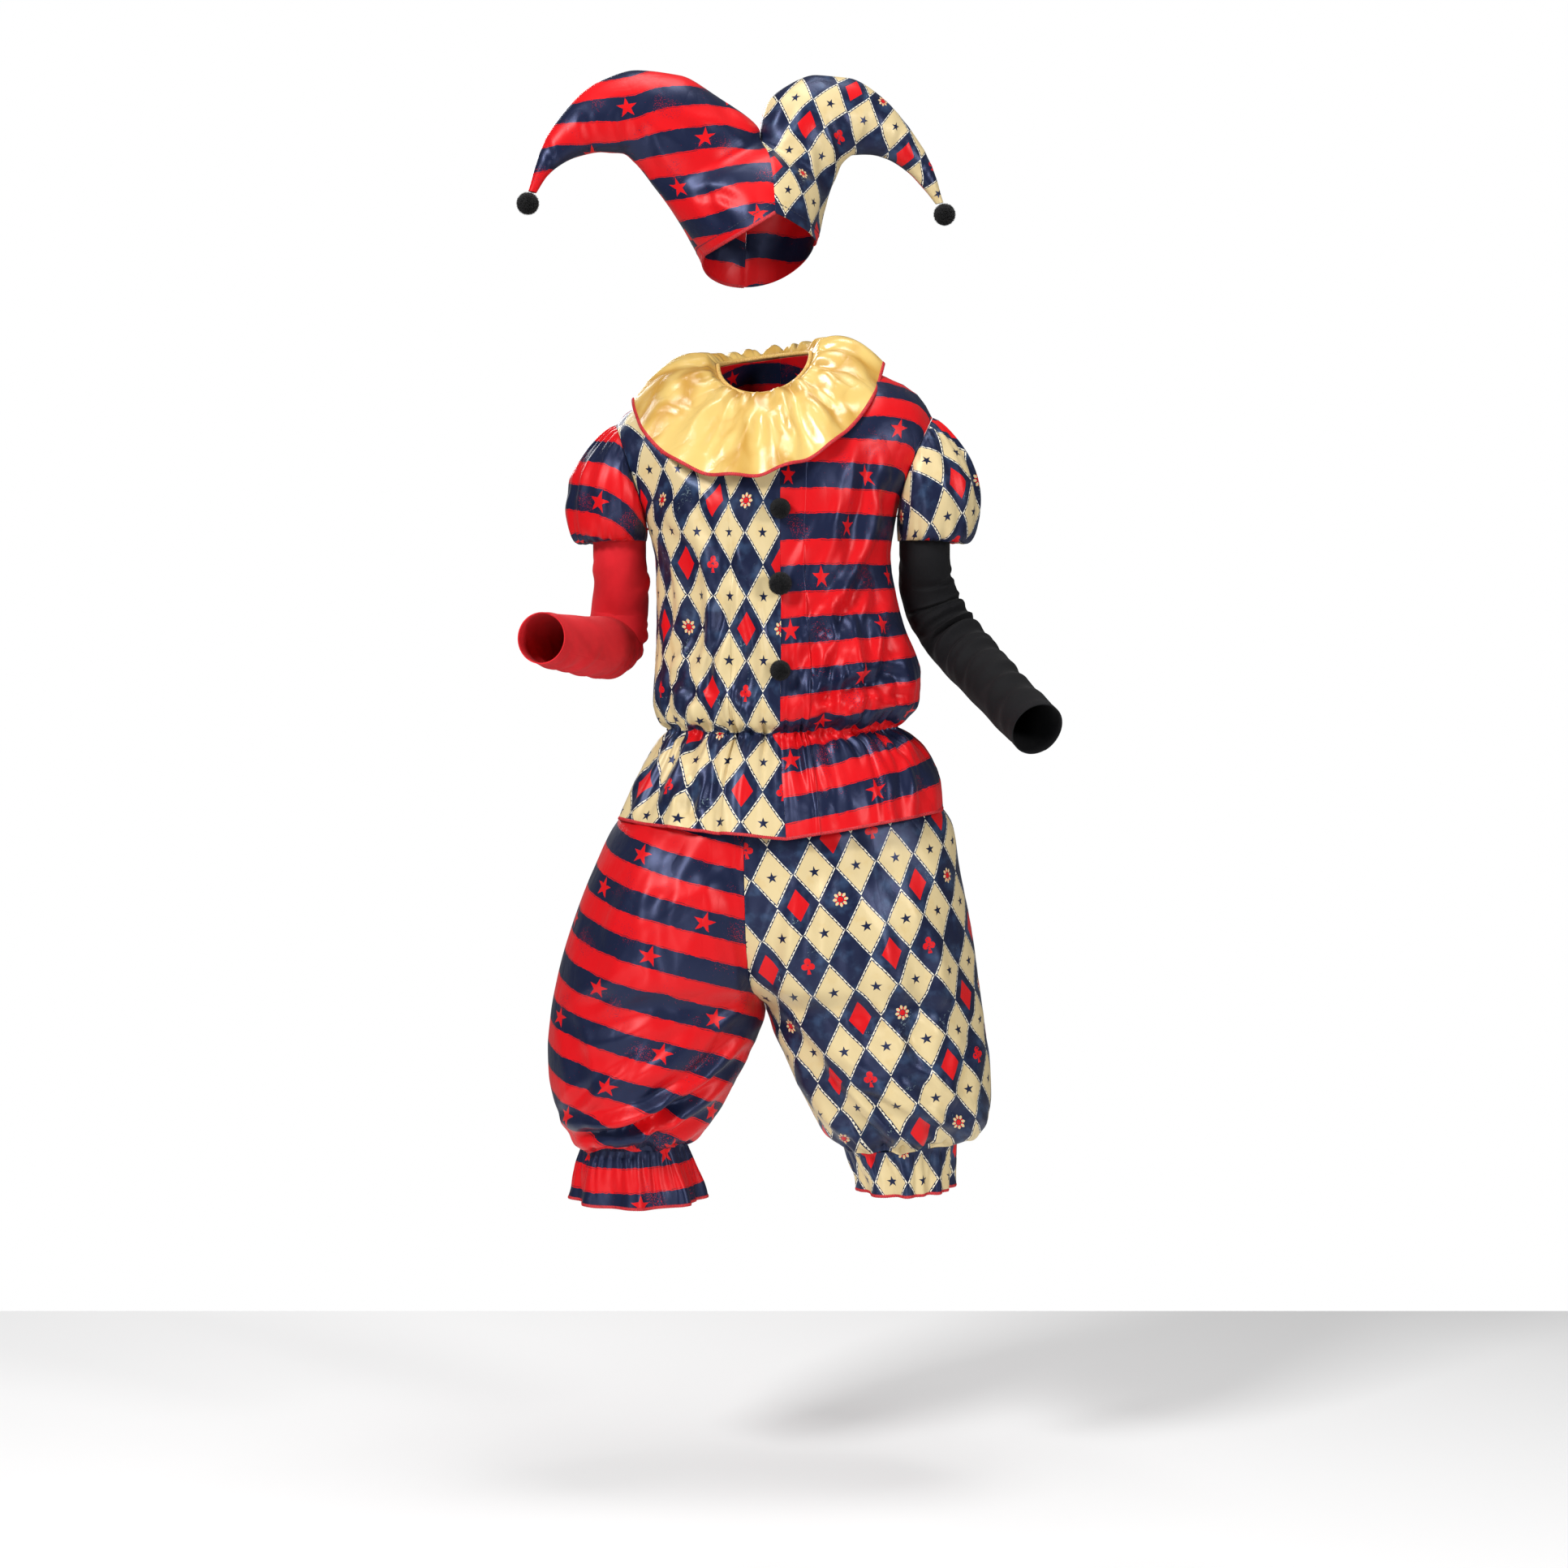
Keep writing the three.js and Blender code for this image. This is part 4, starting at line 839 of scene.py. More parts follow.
HORN_COLUMNS = "top_x front_z back_z under_x under_z seam belly"
HORNS = {
    "left": table_of(HORN_COLUMNS, (
        (0, 221, 143, -77, 174, 100, 0),
        (0, 262, 212, -101, 203, 88, 22),
        (0, 303, 282, -125, 237, 62, 38),
        (0, 343, 343, -149, 268, 0, 47),
        (-58, 388, 388, -173, 297, 0, 45),
        (-112, 416, 416, -191, 308, 0, 41),
        (-169, 421, 421, -218, 309, 0, 36),
        (-226, 402, 402, -250, 302, 0, 31),
        (-271, 362, 362, -276, 289, 0, 24),
        (-302, 313, 313, -293, 274, 0, 15),
        (-320, 254, 254, -308, 251, 0, 5),
    )),
    "right": table_of(HORN_COLUMNS, (
        (0, 221, 143, 77, 190, 100, 0),
        (0, 262, 212, 86, 219, 88, 20),
        (0, 303, 282, 93, 247, 62, 34),
        (0, 343, 343, 101, 271, 0, 42),
        (10, 383, 383, 109, 289, 0, 43),
        (38, 408, 408, 117, 304, 0, 41),
        (78, 424, 424, 134, 317, 0, 38),
        (124, 422, 422, 158, 318, 0, 34),
        (171, 398, 398, 184, 312, 0, 28),
        (211, 357, 357, 211, 296, 0, 21),
        (241, 313, 313, 233, 274, 0, 13),
        (262, 256, 256, 250, 253, 0, 5),
    )),
}
valley_row = 3
OUTWARD_X = {"left": -1, "right": 1}
OUTWARD_Y = {"front": -1, "back": 1}
PANELS = [(side, face) for side in OUTWARD_X for face in OUTWARD_Y]


def hat_to_world(grid):
    cos, sin = math.cos(math.radians(hat_turn)), math.sin(math.radians(hat_turn))
    x, y, z = grid[..., 0], grid[..., 1], grid[..., 2]
    return points(x * cos - y * sin + hat_middle_x, x * sin + y * cos, z)


# %% [markdown]
# The stripes run straight across a whole horn, whatever way the horn bends, because the horn was
# cut from flat cloth. So here the print is laid as a sheet would be pressed on the piece from the
# front: the true length is walked along upright and level lines over the surface, which are
# found by casting rays at it.

# %% Print places on a horn
ray_step = 4.0


def quads_of(grid):
    rows, columns = grid.shape[0] - 1, grid.shape[1]
    row, column = np.meshgrid(np.arange(rows), np.arange(columns - 1), indexing="ij")
    first = (row * columns + column).ravel()
    return np.stack([first, first + 1, first + columns + 1, first + columns], axis=1)


def walked(depth, axis, start):
    """Length walked over the surface from a start line, along one axis of the ray raster."""
    step = np.diff(depth, axis=axis)
    length = np.sqrt(ray_step ** 2 + np.where(np.isnan(step), 0, step) ** 2)
    total = np.insert(np.cumsum(length, axis=axis), 0, 0, axis=axis)
    return total - np.take(total, [start], axis=axis)


def evened(raster, passes=10):
    """Averages each place with its neighbours, because rays that graze an edge give uneven lengths."""
    for _ in range(passes):
        wide = np.pad(raster, 1, mode="edge")
        raster = sum(wide[row:row + raster.shape[0], column:column + raster.shape[1]]
                     for row in range(3) for column in range(3)) / 9
    return raster


def sampled(raster, column, row):
    left = np.clip(np.floor(column).astype(int), 0, raster.shape[1] - 2)
    below = np.clip(np.floor(row).astype(int), 0, raster.shape[0] - 2)
    a, b = column - left, row - below
    low = mix(raster[below, left], raster[below, left + 1], a)
    high = mix(raster[below + 1, left], raster[below + 1, left + 1], a)
    return mix(low, high, b)


def pressed(grid, face, middle):
    """Print places of a piece that shows whole from the front or the back."""
    low, high = grid.reshape(-1, 3).min(axis=0) - 8, grid.reshape(-1, 3).max(axis=0) + 8
    x_line, z_line = np.arange(low[0], high[0], ray_step), np.arange(low[2], high[2], ray_step)
    surface = BVHTree.FromPolygons(grid.reshape(-1, 3).tolist(), quads_of(grid).tolist())
    towards = Vector((0, -OUTWARD_Y[face], 0))
    depth = np.full((len(z_line), len(x_line)), np.nan)
    for row, z in enumerate(z_line):
        for column, x in enumerate(x_line):
            hit = surface.ray_cast(Vector((x, OUTWARD_Y[face] * 600, z)), towards)[0]
            if hit is not None:
                depth[row, column] = hit.y
    across = evened(walked(depth, 1, int((middle[0] - low[0]) / ray_step)))
    upward = evened(walked(depth, 0, int((middle[1] - low[2]) / ray_step)))
    column, row = (grid[..., 0] - low[0]) / ray_step, (grid[..., 2] - low[2]) / ray_step
    return np.stack([sampled(across, column, row), sampled(upward, column, row)], axis=-1) * MM


# %% Hat panels
HAT_CREASES = {
    # from x, from z, to x, to z, width, depth, bow; seen from the front in the hat's own places
    ("left", "front"): (
        (-62, 205, -92, 262, 9, 2.6, 6), (-44, 236, -100, 250, 8, 2.0, -4),
        (-128, 262, -168, 330, 10, 2.6, 8), (-176, 305, -196, 352, 9, 2.0, 4),
        (-228, 312, -246, 356, 8, 1.8, 4), (-70, 330, -150, 362, 12, 2.2, 8),
        (-12, 330, -60, 372, 9, 2.4, 5), (-282, 282, -300, 322, 6, 1.4, 2),
    ),
    ("right", "front"): (
        (64, 204, 84, 262, 9, 2.4, -6), (86, 262, 70, 336, 12, 3.4, -5),
        (110, 296, 96, 360, 10, 2.6, -4), (140, 320, 150, 372, 9, 2.0, -4),
        (186, 316, 196, 362, 8, 1.8, -3), (8, 326, 42, 384, 9, 2.4, -6),
        (222, 290, 240, 322, 6, 1.4, -2),
    ),
    ("left", "back"): (
        (-60, 190, -96, 262, 10, 2.6, 6), (-124, 262, -160, 326, 10, 2.4, 8),
        (-186, 306, -204, 352, 9, 2.0, 4), (-12, 326, -66, 366, 10, 2.4, 5),
    ),
    ("right", "back"): (
        (62, 196, 84, 262, 10, 2.6, -6), (104, 290, 92, 352, 11, 2.6, -5),
        (150, 322, 160, 366, 9, 2.0, -4), (10, 326, 44, 372, 9, 2.2, -5),
    ),
}


HAT_PRINTS = {
    ("left", "front"): {"finish": "striped satin", "turn": -8, "shift": (10, 6), "scale": 1.12},
    ("right", "front"): {"finish": "lozenge satin", "turn": 12, "shift": (-12, 10), "scale": 1.15},
    ("left", "back"): {"finish": "striped satin", "turn": 5, "shift": (90, 30), "scale": 1.0},
    ("right", "back"): {"finish": "striped satin", "turn": 4, "shift": (10, 20), "scale": 1.0},
}
hat_grids = {}

def seam_dip(grid, depth=0.8, width=3.5):
    """Cloth sinks a little where it is sewn to the next piece."""
    step = np.linalg.norm(np.diff(grid, axis=1, prepend=grid[:, :1]), axis=2)
    across = np.cumsum(step, axis=1)
    dip = np.exp(-(across / width) ** 2) + np.exp(-((across[:, -1:] - across) / width) ** 2)
    return -depth * np.clip(dip, 0, 1)


def hat_panel(side, face, columns=44, rows=96):
    table = HORNS[side]
    out_x, out_y = OUTWARD_X[side], OUTWARD_Y[face]
    valley = valley_row / (len(table["seam"]) - 1)

    def place(u, v):
        v = np.where(v < 0.25, v / 0.25 * valley, valley + (v - 0.25) / 0.75 * (1 - valley))
        row = row_at(table, v)
        w = (1 - np.cos(math.pi * u)) / 2
        seam_z = row["front_z"] if face == "front" else row["back_z"]
        brim = 1 - w if face == "front" else np.sqrt(1 - w * w)
        rise = mix(brim, 1 - w, np.clip(v / valley, 0, 1))
        depth = np.sqrt(row["seam"] ** 2 * (1 - w * w) + row["belly"] ** 2 * 4 * w * (1 - w))
        seam_x = row["top_x"] + np.where(v < valley + 0.001, out_x * seam_gap / 2, 0)
        return points(mix(seam_x, row["under_x"], w), out_y * (depth + seam_gap / 2),
                      row["under_z"] + (seam_z - row["under_z"]) * rise)

    outward = facing_y(out_y)

    def seam(normal):
        below = int(0.25 * rows) + 1
        normal[:, -1, 1] = 0
        normal[below:, 0, 1] = 0
        normal[:below, 0, 0] = 0
        return normal

    flat = grid_of(columns, rows, place)
    u, _ = shares(flat)
    x, z = flat[..., 0], flat[..., 2]
    free = np.sin(math.pi * u) ** 0.5
    height = free * (1.3 * creases(HAT_CREASES[side, face], x, z) + drift(x, z, 46, 1.0, 3))
    height += seam_dip(flat, depth=0.6)
    grid = raised(flat, False, outward, height)
    prints = HAT_PRINTS[side, face]
    cloth = turned(prints["scale"] * pressed(flat, face, (0, 300)), prints["turn"], prints["shift"])
    hat_grids[side, face] = (grid, outward)
    piece = shell(f"hat_{face}_{side}_cloth", grid, False, outward, hat_thickness, cloth,
                  prints["finish"], seam, hat_to_world)
    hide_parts(f"hat_{face}_{side}")
    return piece


hat_pieces = {key: hat_panel(*key) for key in PANELS}
print("hat panels:", cut_pieces[-4:])

# %% [markdown]
# The neck edge of the costume leans a little and drops at the front. The ruff is a ring of gold
# satin, gathered to that edge, that falls over the shoulders. From the neck outwards the many
# small gathers run together into a few large soft waves.

# %% Neck and ruff sizes
neck_middle = (-18, -3)
neck_half_width = 63.5
neck_half_depth = 60
neck_side_height = 34
neck_front_drop = 52
neck_back_rise = 8
neck_lean = 0.134
collar_middle_x = -27
collar_half_width = 172
collar_front_reach = 137
collar_back_reach = 128
collar_side_height = 1
collar_front_drop = 135
collar_back_drop = 21
collar_waves = 14
collar_wave_height = 9
collar_lift = 10
collar_hump = 13
collar_corner_drop = 6
binding_radius = 3
collar_thickness = 0.8
collar_print_width = 1500
TURN = 2 * math.pi


def neck_edge(turn, spread=0.0):
    """The neck edge at a turn from 0, the front, round by the right side."""
    across = np.sin(turn * TURN) * (neck_half_width + spread)
    forward = np.cos(turn * TURN)
    swing = np.where(forward > 0, -neck_front_drop * forward, -neck_back_rise * forward)
    return points(neck_middle[0] + across, neck_middle[1] - forward * (neck_half_depth + spread),
                  neck_side_height + swing + neck_lean * across)


def collar_edge(turn):
    forward = np.cos(turn * TURN)
    across = np.sin(turn * TURN) * collar_half_width
    reach = np.where(forward > 0, collar_front_reach, collar_back_reach)
    drop = np.where(forward > 0, collar_front_drop * np.abs(forward) ** 1.2, -collar_back_drop * forward)
    return points(collar_middle_x + across, neck_middle[1] - forward * reach,
                  collar_side_height - drop + neck_lean * across)


def collar_wave(turn, share):
    angle = turn * TURN
    uneven = 1 + 0.35 * np.sin(3 * angle + 1) + 0.2 * np.sin(5 * angle)
    swell = (1 - np.cos(collar_waves * angle + 0.6 * np.sin(2 * angle))) / 2
    return collar_wave_height * uneven * swell * (0.25 + 0.75 * share) * smooth(share, 0, 0.15)


# %% Ruff
COLLAR_CREASES = (
    (-92, -6, -150, -22, 11, 3.0, 8), (-76, -20, -128, -62, 10, 3.2, -8), (-58, -30, -92, -96, 9, 3.2, 6),
    (-40, -40, -62, -112, 9, 2.8, -5), (-4, -34, 8, -118, 10, 3.0, 6), (22, -28, 52, -92, 9, 3.0, -6),
    (40, -18, 84, -62, 10, 3.2, 8), (50, -4, 112, -34, 11, 3.4, -8), (58, 20, 118, 4, 10, 2.6, 6),
    (-86, 16, -136, 8, 9, 2.4, -5), (-30, -52, -22, -84, 8, 2.2, 3), (4, -50, 14, -76, 7, 2.0, -3),
)


def up_only(_):
    return np.array([0, 0, 1])


def ruff(columns=336, rows=40):
    def place(u, v):
        inner = neck_edge(u, binding_radius + seam_gap + 0.2)
        outer = collar_edge(u)
        grid = mix(inner, outer, v[..., None])
        grid[..., 2] = mix(inner[..., 2], outer[..., 2], v ** 1.3) + collar_lift * np.sin(math.pi * v)
        return grid

    flat = grid_of(columns, rows, place)
    u, v = shares(flat)
    behind = 1 - smooth(np.cos(u * TURN), -0.2, 0.75)
    height = collar_wave(u, v) + 7 * smooth(v, 0, 0.12) * (1 - 0.75 * v)
    height += collar_hump * behind * np.sin(math.pi * v ** 0.75) - collar_corner_drop * behind * v ** 3
    height += pleats(u, v, 0.0, 46, 5.0, 0.22, 11, ring=True) * smooth(v, 0, 0.05)
    height += pleats(u, v, 0.1, 19, 15.0, 0.75, 12, ring=True) * smooth(v, 0, 0.2)
    front = smooth(-flat[..., 1], -10, 50)
    folds = creases(COLLAR_CREASES, flat[..., 0], flat[..., 2])
    height += front * 2.9 * folds * smooth(v, 0.02, 0.2) * (1 - 0.6 * v)
    height += drift(flat[..., 0], flat[..., 1], 60, 1.6, 5) * smooth(v, 0.1, 0.5)
    grid = raised(flat, True, up_only, np.maximum(height, mix(-2.0, -3.5, smooth(v, 0.2, 0.8))))
    cloth = cloth_of(grid, width=collar_print_width)
    return shell("ruff_cloth", grid, True, up_only, collar_thickness, cloth, "gold satin"), grid


ruff_piece, ruff_grid = ruff()
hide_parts("ruff_collar")
print("ruff", cut_pieces[-1])

# %% [markdown]
# Edges are finished with thread: an overlocker winds it over the raw edge in close slanting turns.
# A narrow flattened tube is swept along the edge, and its width swells and shrinks with every turn
# of thread. The same sweep makes the round gold binding of the neck.

# %% Swept edges
thread_turn = 2.6


def resampled(line, facing, step, closed):
    """The same line with even steps, and the outward direction at each of its points."""
    both = np.concatenate([line, facing], axis=1)
    if closed:
        both = np.concatenate([both, both[:1]])
    walk = np.concatenate([[0], np.cumsum(np.linalg.norm(np.diff(both[:, :3], axis=0), axis=1))])
    count = max(8, int(walk[-1] / step))
    places = np.linspace(0, walk[-1], count + 1)[:-1 if closed else None]
    even = np.stack([np.interp(places, walk, both[:, axis]) for axis in range(6)], axis=1)
    return even[:, :3], even[:, 3:]


def swept(name, line, facing, across, thick, closed, finish, sides=8, step=0.9, rough=0.16):
    """A flattened tube along a line; facing is the cloth's outward direction at each of its points."""
    line, out = resampled(line, facing, step, closed)
    along = np.roll(line, -1, 0) - np.roll(line, 1, 0)
    if not closed:
        along[0], along[-1] = line[1] - line[0], line[-1] - line[-2]
    along /= np.linalg.norm(along, axis=1, keepdims=True)
    out -= along * np.einsum("ij,ij->i", out, along)[:, None]
    out /= np.maximum(np.linalg.norm(out, axis=1, keepdims=True), 1e-9)
    beside = np.cross(along, out)
    turn = np.linspace(0, TURN, sides, endpoint=False)
    winding = 1 + rough * np.sin(np.arange(len(line))[:, None] * step / thread_turn * TURN + turn)
    ring = (line[:, None] + beside[:, None] * (across * winding * np.cos(turn))[..., None]
            + out[:, None] * (thick * winding * np.sin(turn))[..., None])
    count = len(line)
    row, column = np.meshgrid(np.arange(count if closed else count - 1), np.arange(sides), indexing="ij")
    row, column = row.ravel(), column.ravel()
    after, beyond = (row + 1) % count, (column + 1) % sides
    faces = np.stack([row * sides + column, row * sides + beyond, after * sides + beyond,
                      after * sides + column], axis=1).tolist()
    if not closed:
        faces += [list(range(sides))[::-1], [(count - 1) * sides + index for index in range(sides)]]
    places = ring.reshape(-1, 3) * MM
    first = np.array(faces[0])
    away = places[first].mean(axis=0) - line[:2].mean(axis=0) * MM
    if np.dot(np.cross(places[first[1]] - places[first[0]], places[first[2]] - places[first[1]]), away) < 0:
        faces = [face[::-1] for face in faces]
    piece = new_piece(name, places, faces, finish)
    piece.data.shade_smooth()
    return piece


def edge_of(grid, ring, outward, row, inset, thickness, move=None):
    """A grid's edge row, a little inside it and half a thickness down, with its outward directions."""
    normal = normals_of(grid, ring, outward)
    used = slice(0, grid.shape[1] - 1) if ring else slice(None)
    line, facing = grid[row, used], normal[row, used]
    inward = grid[row + (1 if row == 0 else -1), used] - line
    inward = inward / np.maximum(np.linalg.norm(inward, axis=1, keepdims=True), 1e-9)
    line = line + inward * inset - facing * thickness / 2
    if move is not None:
        tip = move(line + facing)
        line = move(line)
        facing = tip - line
    return line, facing


line, facing = edge_of(ruff_grid, True, up_only, -1, 1.6, collar_thickness)
ruff_edge = swept("ruff_overlock", line, facing, 2.6, 1.2, True, "red thread")

turns = np.linspace(0, 1, 240, endpoint=False)
line = neck_edge(turns)
facing = line - np.array([*neck_middle, 0])
facing[:, 2] = 0
facing = facing / np.linalg.norm(facing, axis=1, keepdims=True)
binding = swept("neck_binding_cloth", line, facing, 2.9, 2.9, True, "gold thread",
                sides=12, step=1.6, rough=0.03)
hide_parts("neck_binding")

# %% [markdown]
# The top is cut as two fronts and two backs, each in one piece from the shoulder to the peplum
# hem. An elastic draws it in at the waist, so the bodice hangs over it in soft blouses and the
# peplum flares below. The print runs straight through the waist, which shows that
# there is no seam there.

# %% Top sizes
neckline_clearance = 3
neckline_drop = 5
shoulder_rounding = 190
section_fullness = 0.35
neck_back_hump = 60
neckline_start = 0.55
top_gathers = 3
underarm_row = 10
waist_row = 4

SHOULDER_LINE = np.array((
    (-222, -56), (-208, -41), (-193, -31), (-150, -8), (-84, 20.5), (-18, 29), (48, 37.5),
    (100, 28), (145, 11), (173, 0), (192, -14), (204, -30), (213, -46),
))
TOP_COLUMNS = "seam_x front_z back_z side_x side_z front back arm gather"
TOP = {
    "left": table_of(TOP_COLUMNS, (
        (12, -618, -612, -219, -597, 154, 150, 0, 6),
        (9, -575, -570, -206, -565, 146, 140, 0, 5),
        (6, -530, -526, -184, -522, 132, 124, 0, 5),
        (5, -495, -492, -163, -488, 113, 103, 0, 4),
        (4, -478, -476, -152, -474, 104, 93, 0, 3),
        (4, -466, -465, -163, -463, 117, 107, 0, 5),
        (4, -438, -438, -172, -436, 128, 118, 0, 4),
        (5, -385, -385, -169, -385, 127, 118, 0, 2),
        (5, -315, -315, -167, -317, 124, 118, 0, 0),
        (4, -245, -240, -168, -250, 122, 120, 0, 0),
        (4, -192, -180, -178, -199, 121, 120, 0, 0),
        (4, -146, -128, -189, -155, 120, 120, 46, 0),
        (4, -102, -72, -204, -108, 120, 120, 52, 0),
        (4, -60, -16, -215, -74, 120, 120, 34, 0),
        (4, -23, 37, -222, -56, 120, 120, 0, 0),
    )),
    "right": table_of(TOP_COLUMNS, (
        (12, -618, -612, 229, -584, 154, 150, 0, 6),
        (9, -575, -570, 226, -547, 146, 140, 0, 5),
        (6, -530, -526, 212, -511, 132, 124, 0, 5),
        (5, -495, -492, 189, -484, 113, 103, 0, 4),
        (4, -478, -476, 166, -470, 104, 93, 0, 3),
        (4, -466, -465, 180, -459, 117, 107, 0, 5),
        (4, -438, -438, 196, -436, 128, 118, 0, 4),
        (5, -385, -385, 198, -395, 127, 118, 0, 2),
        (5, -315, -315, 172, -322, 124, 118, 0, 0),
        (4, -245, -240, 156, -240, 122, 120, 0, 0),
        (4, -192, -180, 164, -181, 121, 120, 0, 0),
        (4, -146, -128, 173, -140, 120, 120, 44, 0),
        (4, -102, -72, 189, -97, 120, 120, 50, 0),
        (4, -60, -16, 204, -65, 120, 120, 33, 0),
        (4, -23, 37, 213, -46, 120, 120, 0, 0),
    )),
}
NECK_SHARE = {"left": 4 / 12, "right": 3 / 12}
WAIST = waist_row / 14
UNDERARM = underarm_row / 14


def upper_edge(x, face):
    across = (x - neck_middle[0]) / (neck_half_width + neckline_clearance)
    forward = np.sqrt(np.clip(1 - across ** 2, 0, 1))
    swing = -neck_front_drop * forward if face == "front" else neck_back_rise * forward
    neckline = neck_side_height + swing + neck_lean * (x - neck_middle[0]) - neckline_drop
    return np.where(np.abs(across) >= 1, np.interp(x, *SHOULDER_LINE.T), neckline)


def shoulder_fill(x, z, face):
    across = np.abs(x - neck_middle[0]) / (neck_half_width + neckline_clearance)
    hump = np.where(across < 1, neck_back_hump * (1 - across ** 2), 0) if face == "back" else 0
    below = np.clip((np.interp(x, *SHOULDER_LINE.T) + hump - z) / shoulder_rounding, 0, 1)
    return (1 - (1 - below) ** 2) ** mix(1, 0.55, smooth(across, 1, 2.8))


def top_point(side, face, u, v):
    """A point of the top: u from the centre seam to the side, v from the hem to the shoulder."""
    table, out_x = TOP[side], OUTWARD_X[side]
    row = row_at(table, v)
    tip = {name: column[-1] for name, column in table.items()}
    neck_x = neck_middle[0] + out_x * (neck_half_width + neckline_clearance)
    share = (neck_x - tip["seam_x"]) / (tip["side_x"] - tip["seam_x"])
    split = NECK_SHARE[side]
    w = np.where(u <= split, share * np.sin(math.pi / 2 * np.minimum(u / split, 1)),
                 share + (1 - share) * np.sin(math.pi / 2 * np.maximum((u - split) / (1 - split), 0)))
    x = mix(row["seam_x"] + out_x * seam_gap / 2, row["side_x"], w)
    seam_z = row["front_z"] if face == "front" else row["back_z"]
    tip_seam_z = tip["front_z"] if face == "front" else tip["back_z"]
    correction = upper_edge(mix(tip["seam_x"], tip["side_x"], w), face) - mix(tip_seam_z, tip["side_z"], w)
    z = mix(seam_z, row["side_z"], w) + correction * smooth(v, neckline_start, 1)
    fill = np.where((v >= 1) & (w >= share - 1e-6), 0, shoulder_fill(x, z, face))
    middle = row[face]
    section = middle ** 2 * (1 - w * w) + (section_fullness * middle) ** 2 * 4 * w * (1 - w)
    depth = np.sqrt(fill ** 2 * section + row["arm"] ** 2 * w * w)
    return points(x, OUTWARD_Y[face] * (depth + seam_gap / 2), z)


# %% Top panels
TOP_CREASES = {
    ("left", "front"): (
        (-120, -236, -128, -425, 15, 5.5, 8), (-40, -330, -30, -442, 14, 4.2, -5),
        (-158, -250, -140, -366, 9, 3.0, 6), (-84, -350, -92, -446, 9, 3.4, -4),
        (-20, -300, -6, -400, 8, 2.4, 4), (-66, -210, -74, -330, 10, 1.8, 5),
        (-150, -398, -100, -448, 8, 2.4, 6), (-60, -410, -18, -452, 7, 2.2, -4),
        (-168, -200, -120, -232, 8, 2.2, 5), (-90, -500, -112, -590, 10, 2.2, 4),
        (-30, -505, -34, -600, 9, 2.0, -4), (-150, -500, -178, -580, 9, 2.2, 4),
    ),
    ("right", "front"): (
        (142, -222, 72, -338, 15, 5.0, 8), (76, -326, 6, -446, 13, 4.6, -8),
        (170, -398, 80, -432, 13, 5.0, -8), (116, -206, 62, -300, 9, 2.4, 6),
        (150, -262, 96, -356, 9, 3.0, 5), (60, -300, 14, -372, 8, 2.2, -4),
        (186, -428, 112, -404, 9, 3.2, 5), (112, -410, 34, -450, 9, 3.0, -6),
        (190, -392, 150, -358, 8, 2.4, -4), (136, -120, 156, -190, 9, 2.0, -4),
        (70, -505, 84, -590, 10, 2.0, 4), (130, -496, 150, -575, 10, 2.2, -4),
        (186, -488, 204, -560, 9, 2.2, 3),
    ),
    ("left", "back"): (
        (-120, -220, -96, -430, 14, 4.6, -8), (-50, -300, -44, -446, 12, 3.6, 5),
        (-156, -260, -132, -400, 10, 3.2, 6), (-14, -260, -22, -410, 10, 2.4, -4),
        (-80, -500, -96, -590, 10, 2.2, 4), (-140, -500, -164, -580, 9, 2.0, -4),
        (-20, -505, -24, -596, 9, 2.0, 3),
    ),
    ("right", "back"): (
        (134, -226, 60, -390, 14, 4.4, 8), (70, -300, 34, -446, 11, 3.4, -5),
        (168, -396, 96, -440, 12, 4.0, -6), (24, -250, 20, -400, 10, 2.4, 4),
        (60, -505, 70, -596, 10, 2.2, -4), (120, -498, 138, -584, 10, 2.0, 4),
        (180, -488, 198, -562, 9, 2.2, 3),
    ),
}
TOP_SMALL_FOLDS = (
    # two corners of a box, lean, spread, count, depth, length, width
    ((20, -440), (165, -340), 8, 20, 12, 4.4, (70, 150), (7, 12)),
    ((20, -330), (160, -130), -24, 24, 9, 3.4, (90, 190), (9, 15)),
    ((20, -600), (190, -500), 12, 18, 9, 3.6, (70, 130), (8, 14)),
)
TOP_PRINTS = {
    # tilt is how much the print rises towards the side seam, below the chest
    ("left", "front"): {"finish": "lozenge satin", "turn": 0, "shift": (0, 0), "tilt": 0},
    ("right", "front"): {"finish": "striped satin", "turn": 0, "shift": (14, 24), "tilt": 0.11},
    ("left", "back"): {"finish": "striped satin", "turn": 0, "shift": (60, 0), "tilt": 0.05},
    ("right", "back"): {"finish": "striped satin", "turn": 0, "shift": (20, 0), "tilt": 0.08},
}
top_cut_width = 300
waist_take_up = 22
top_grids = {}


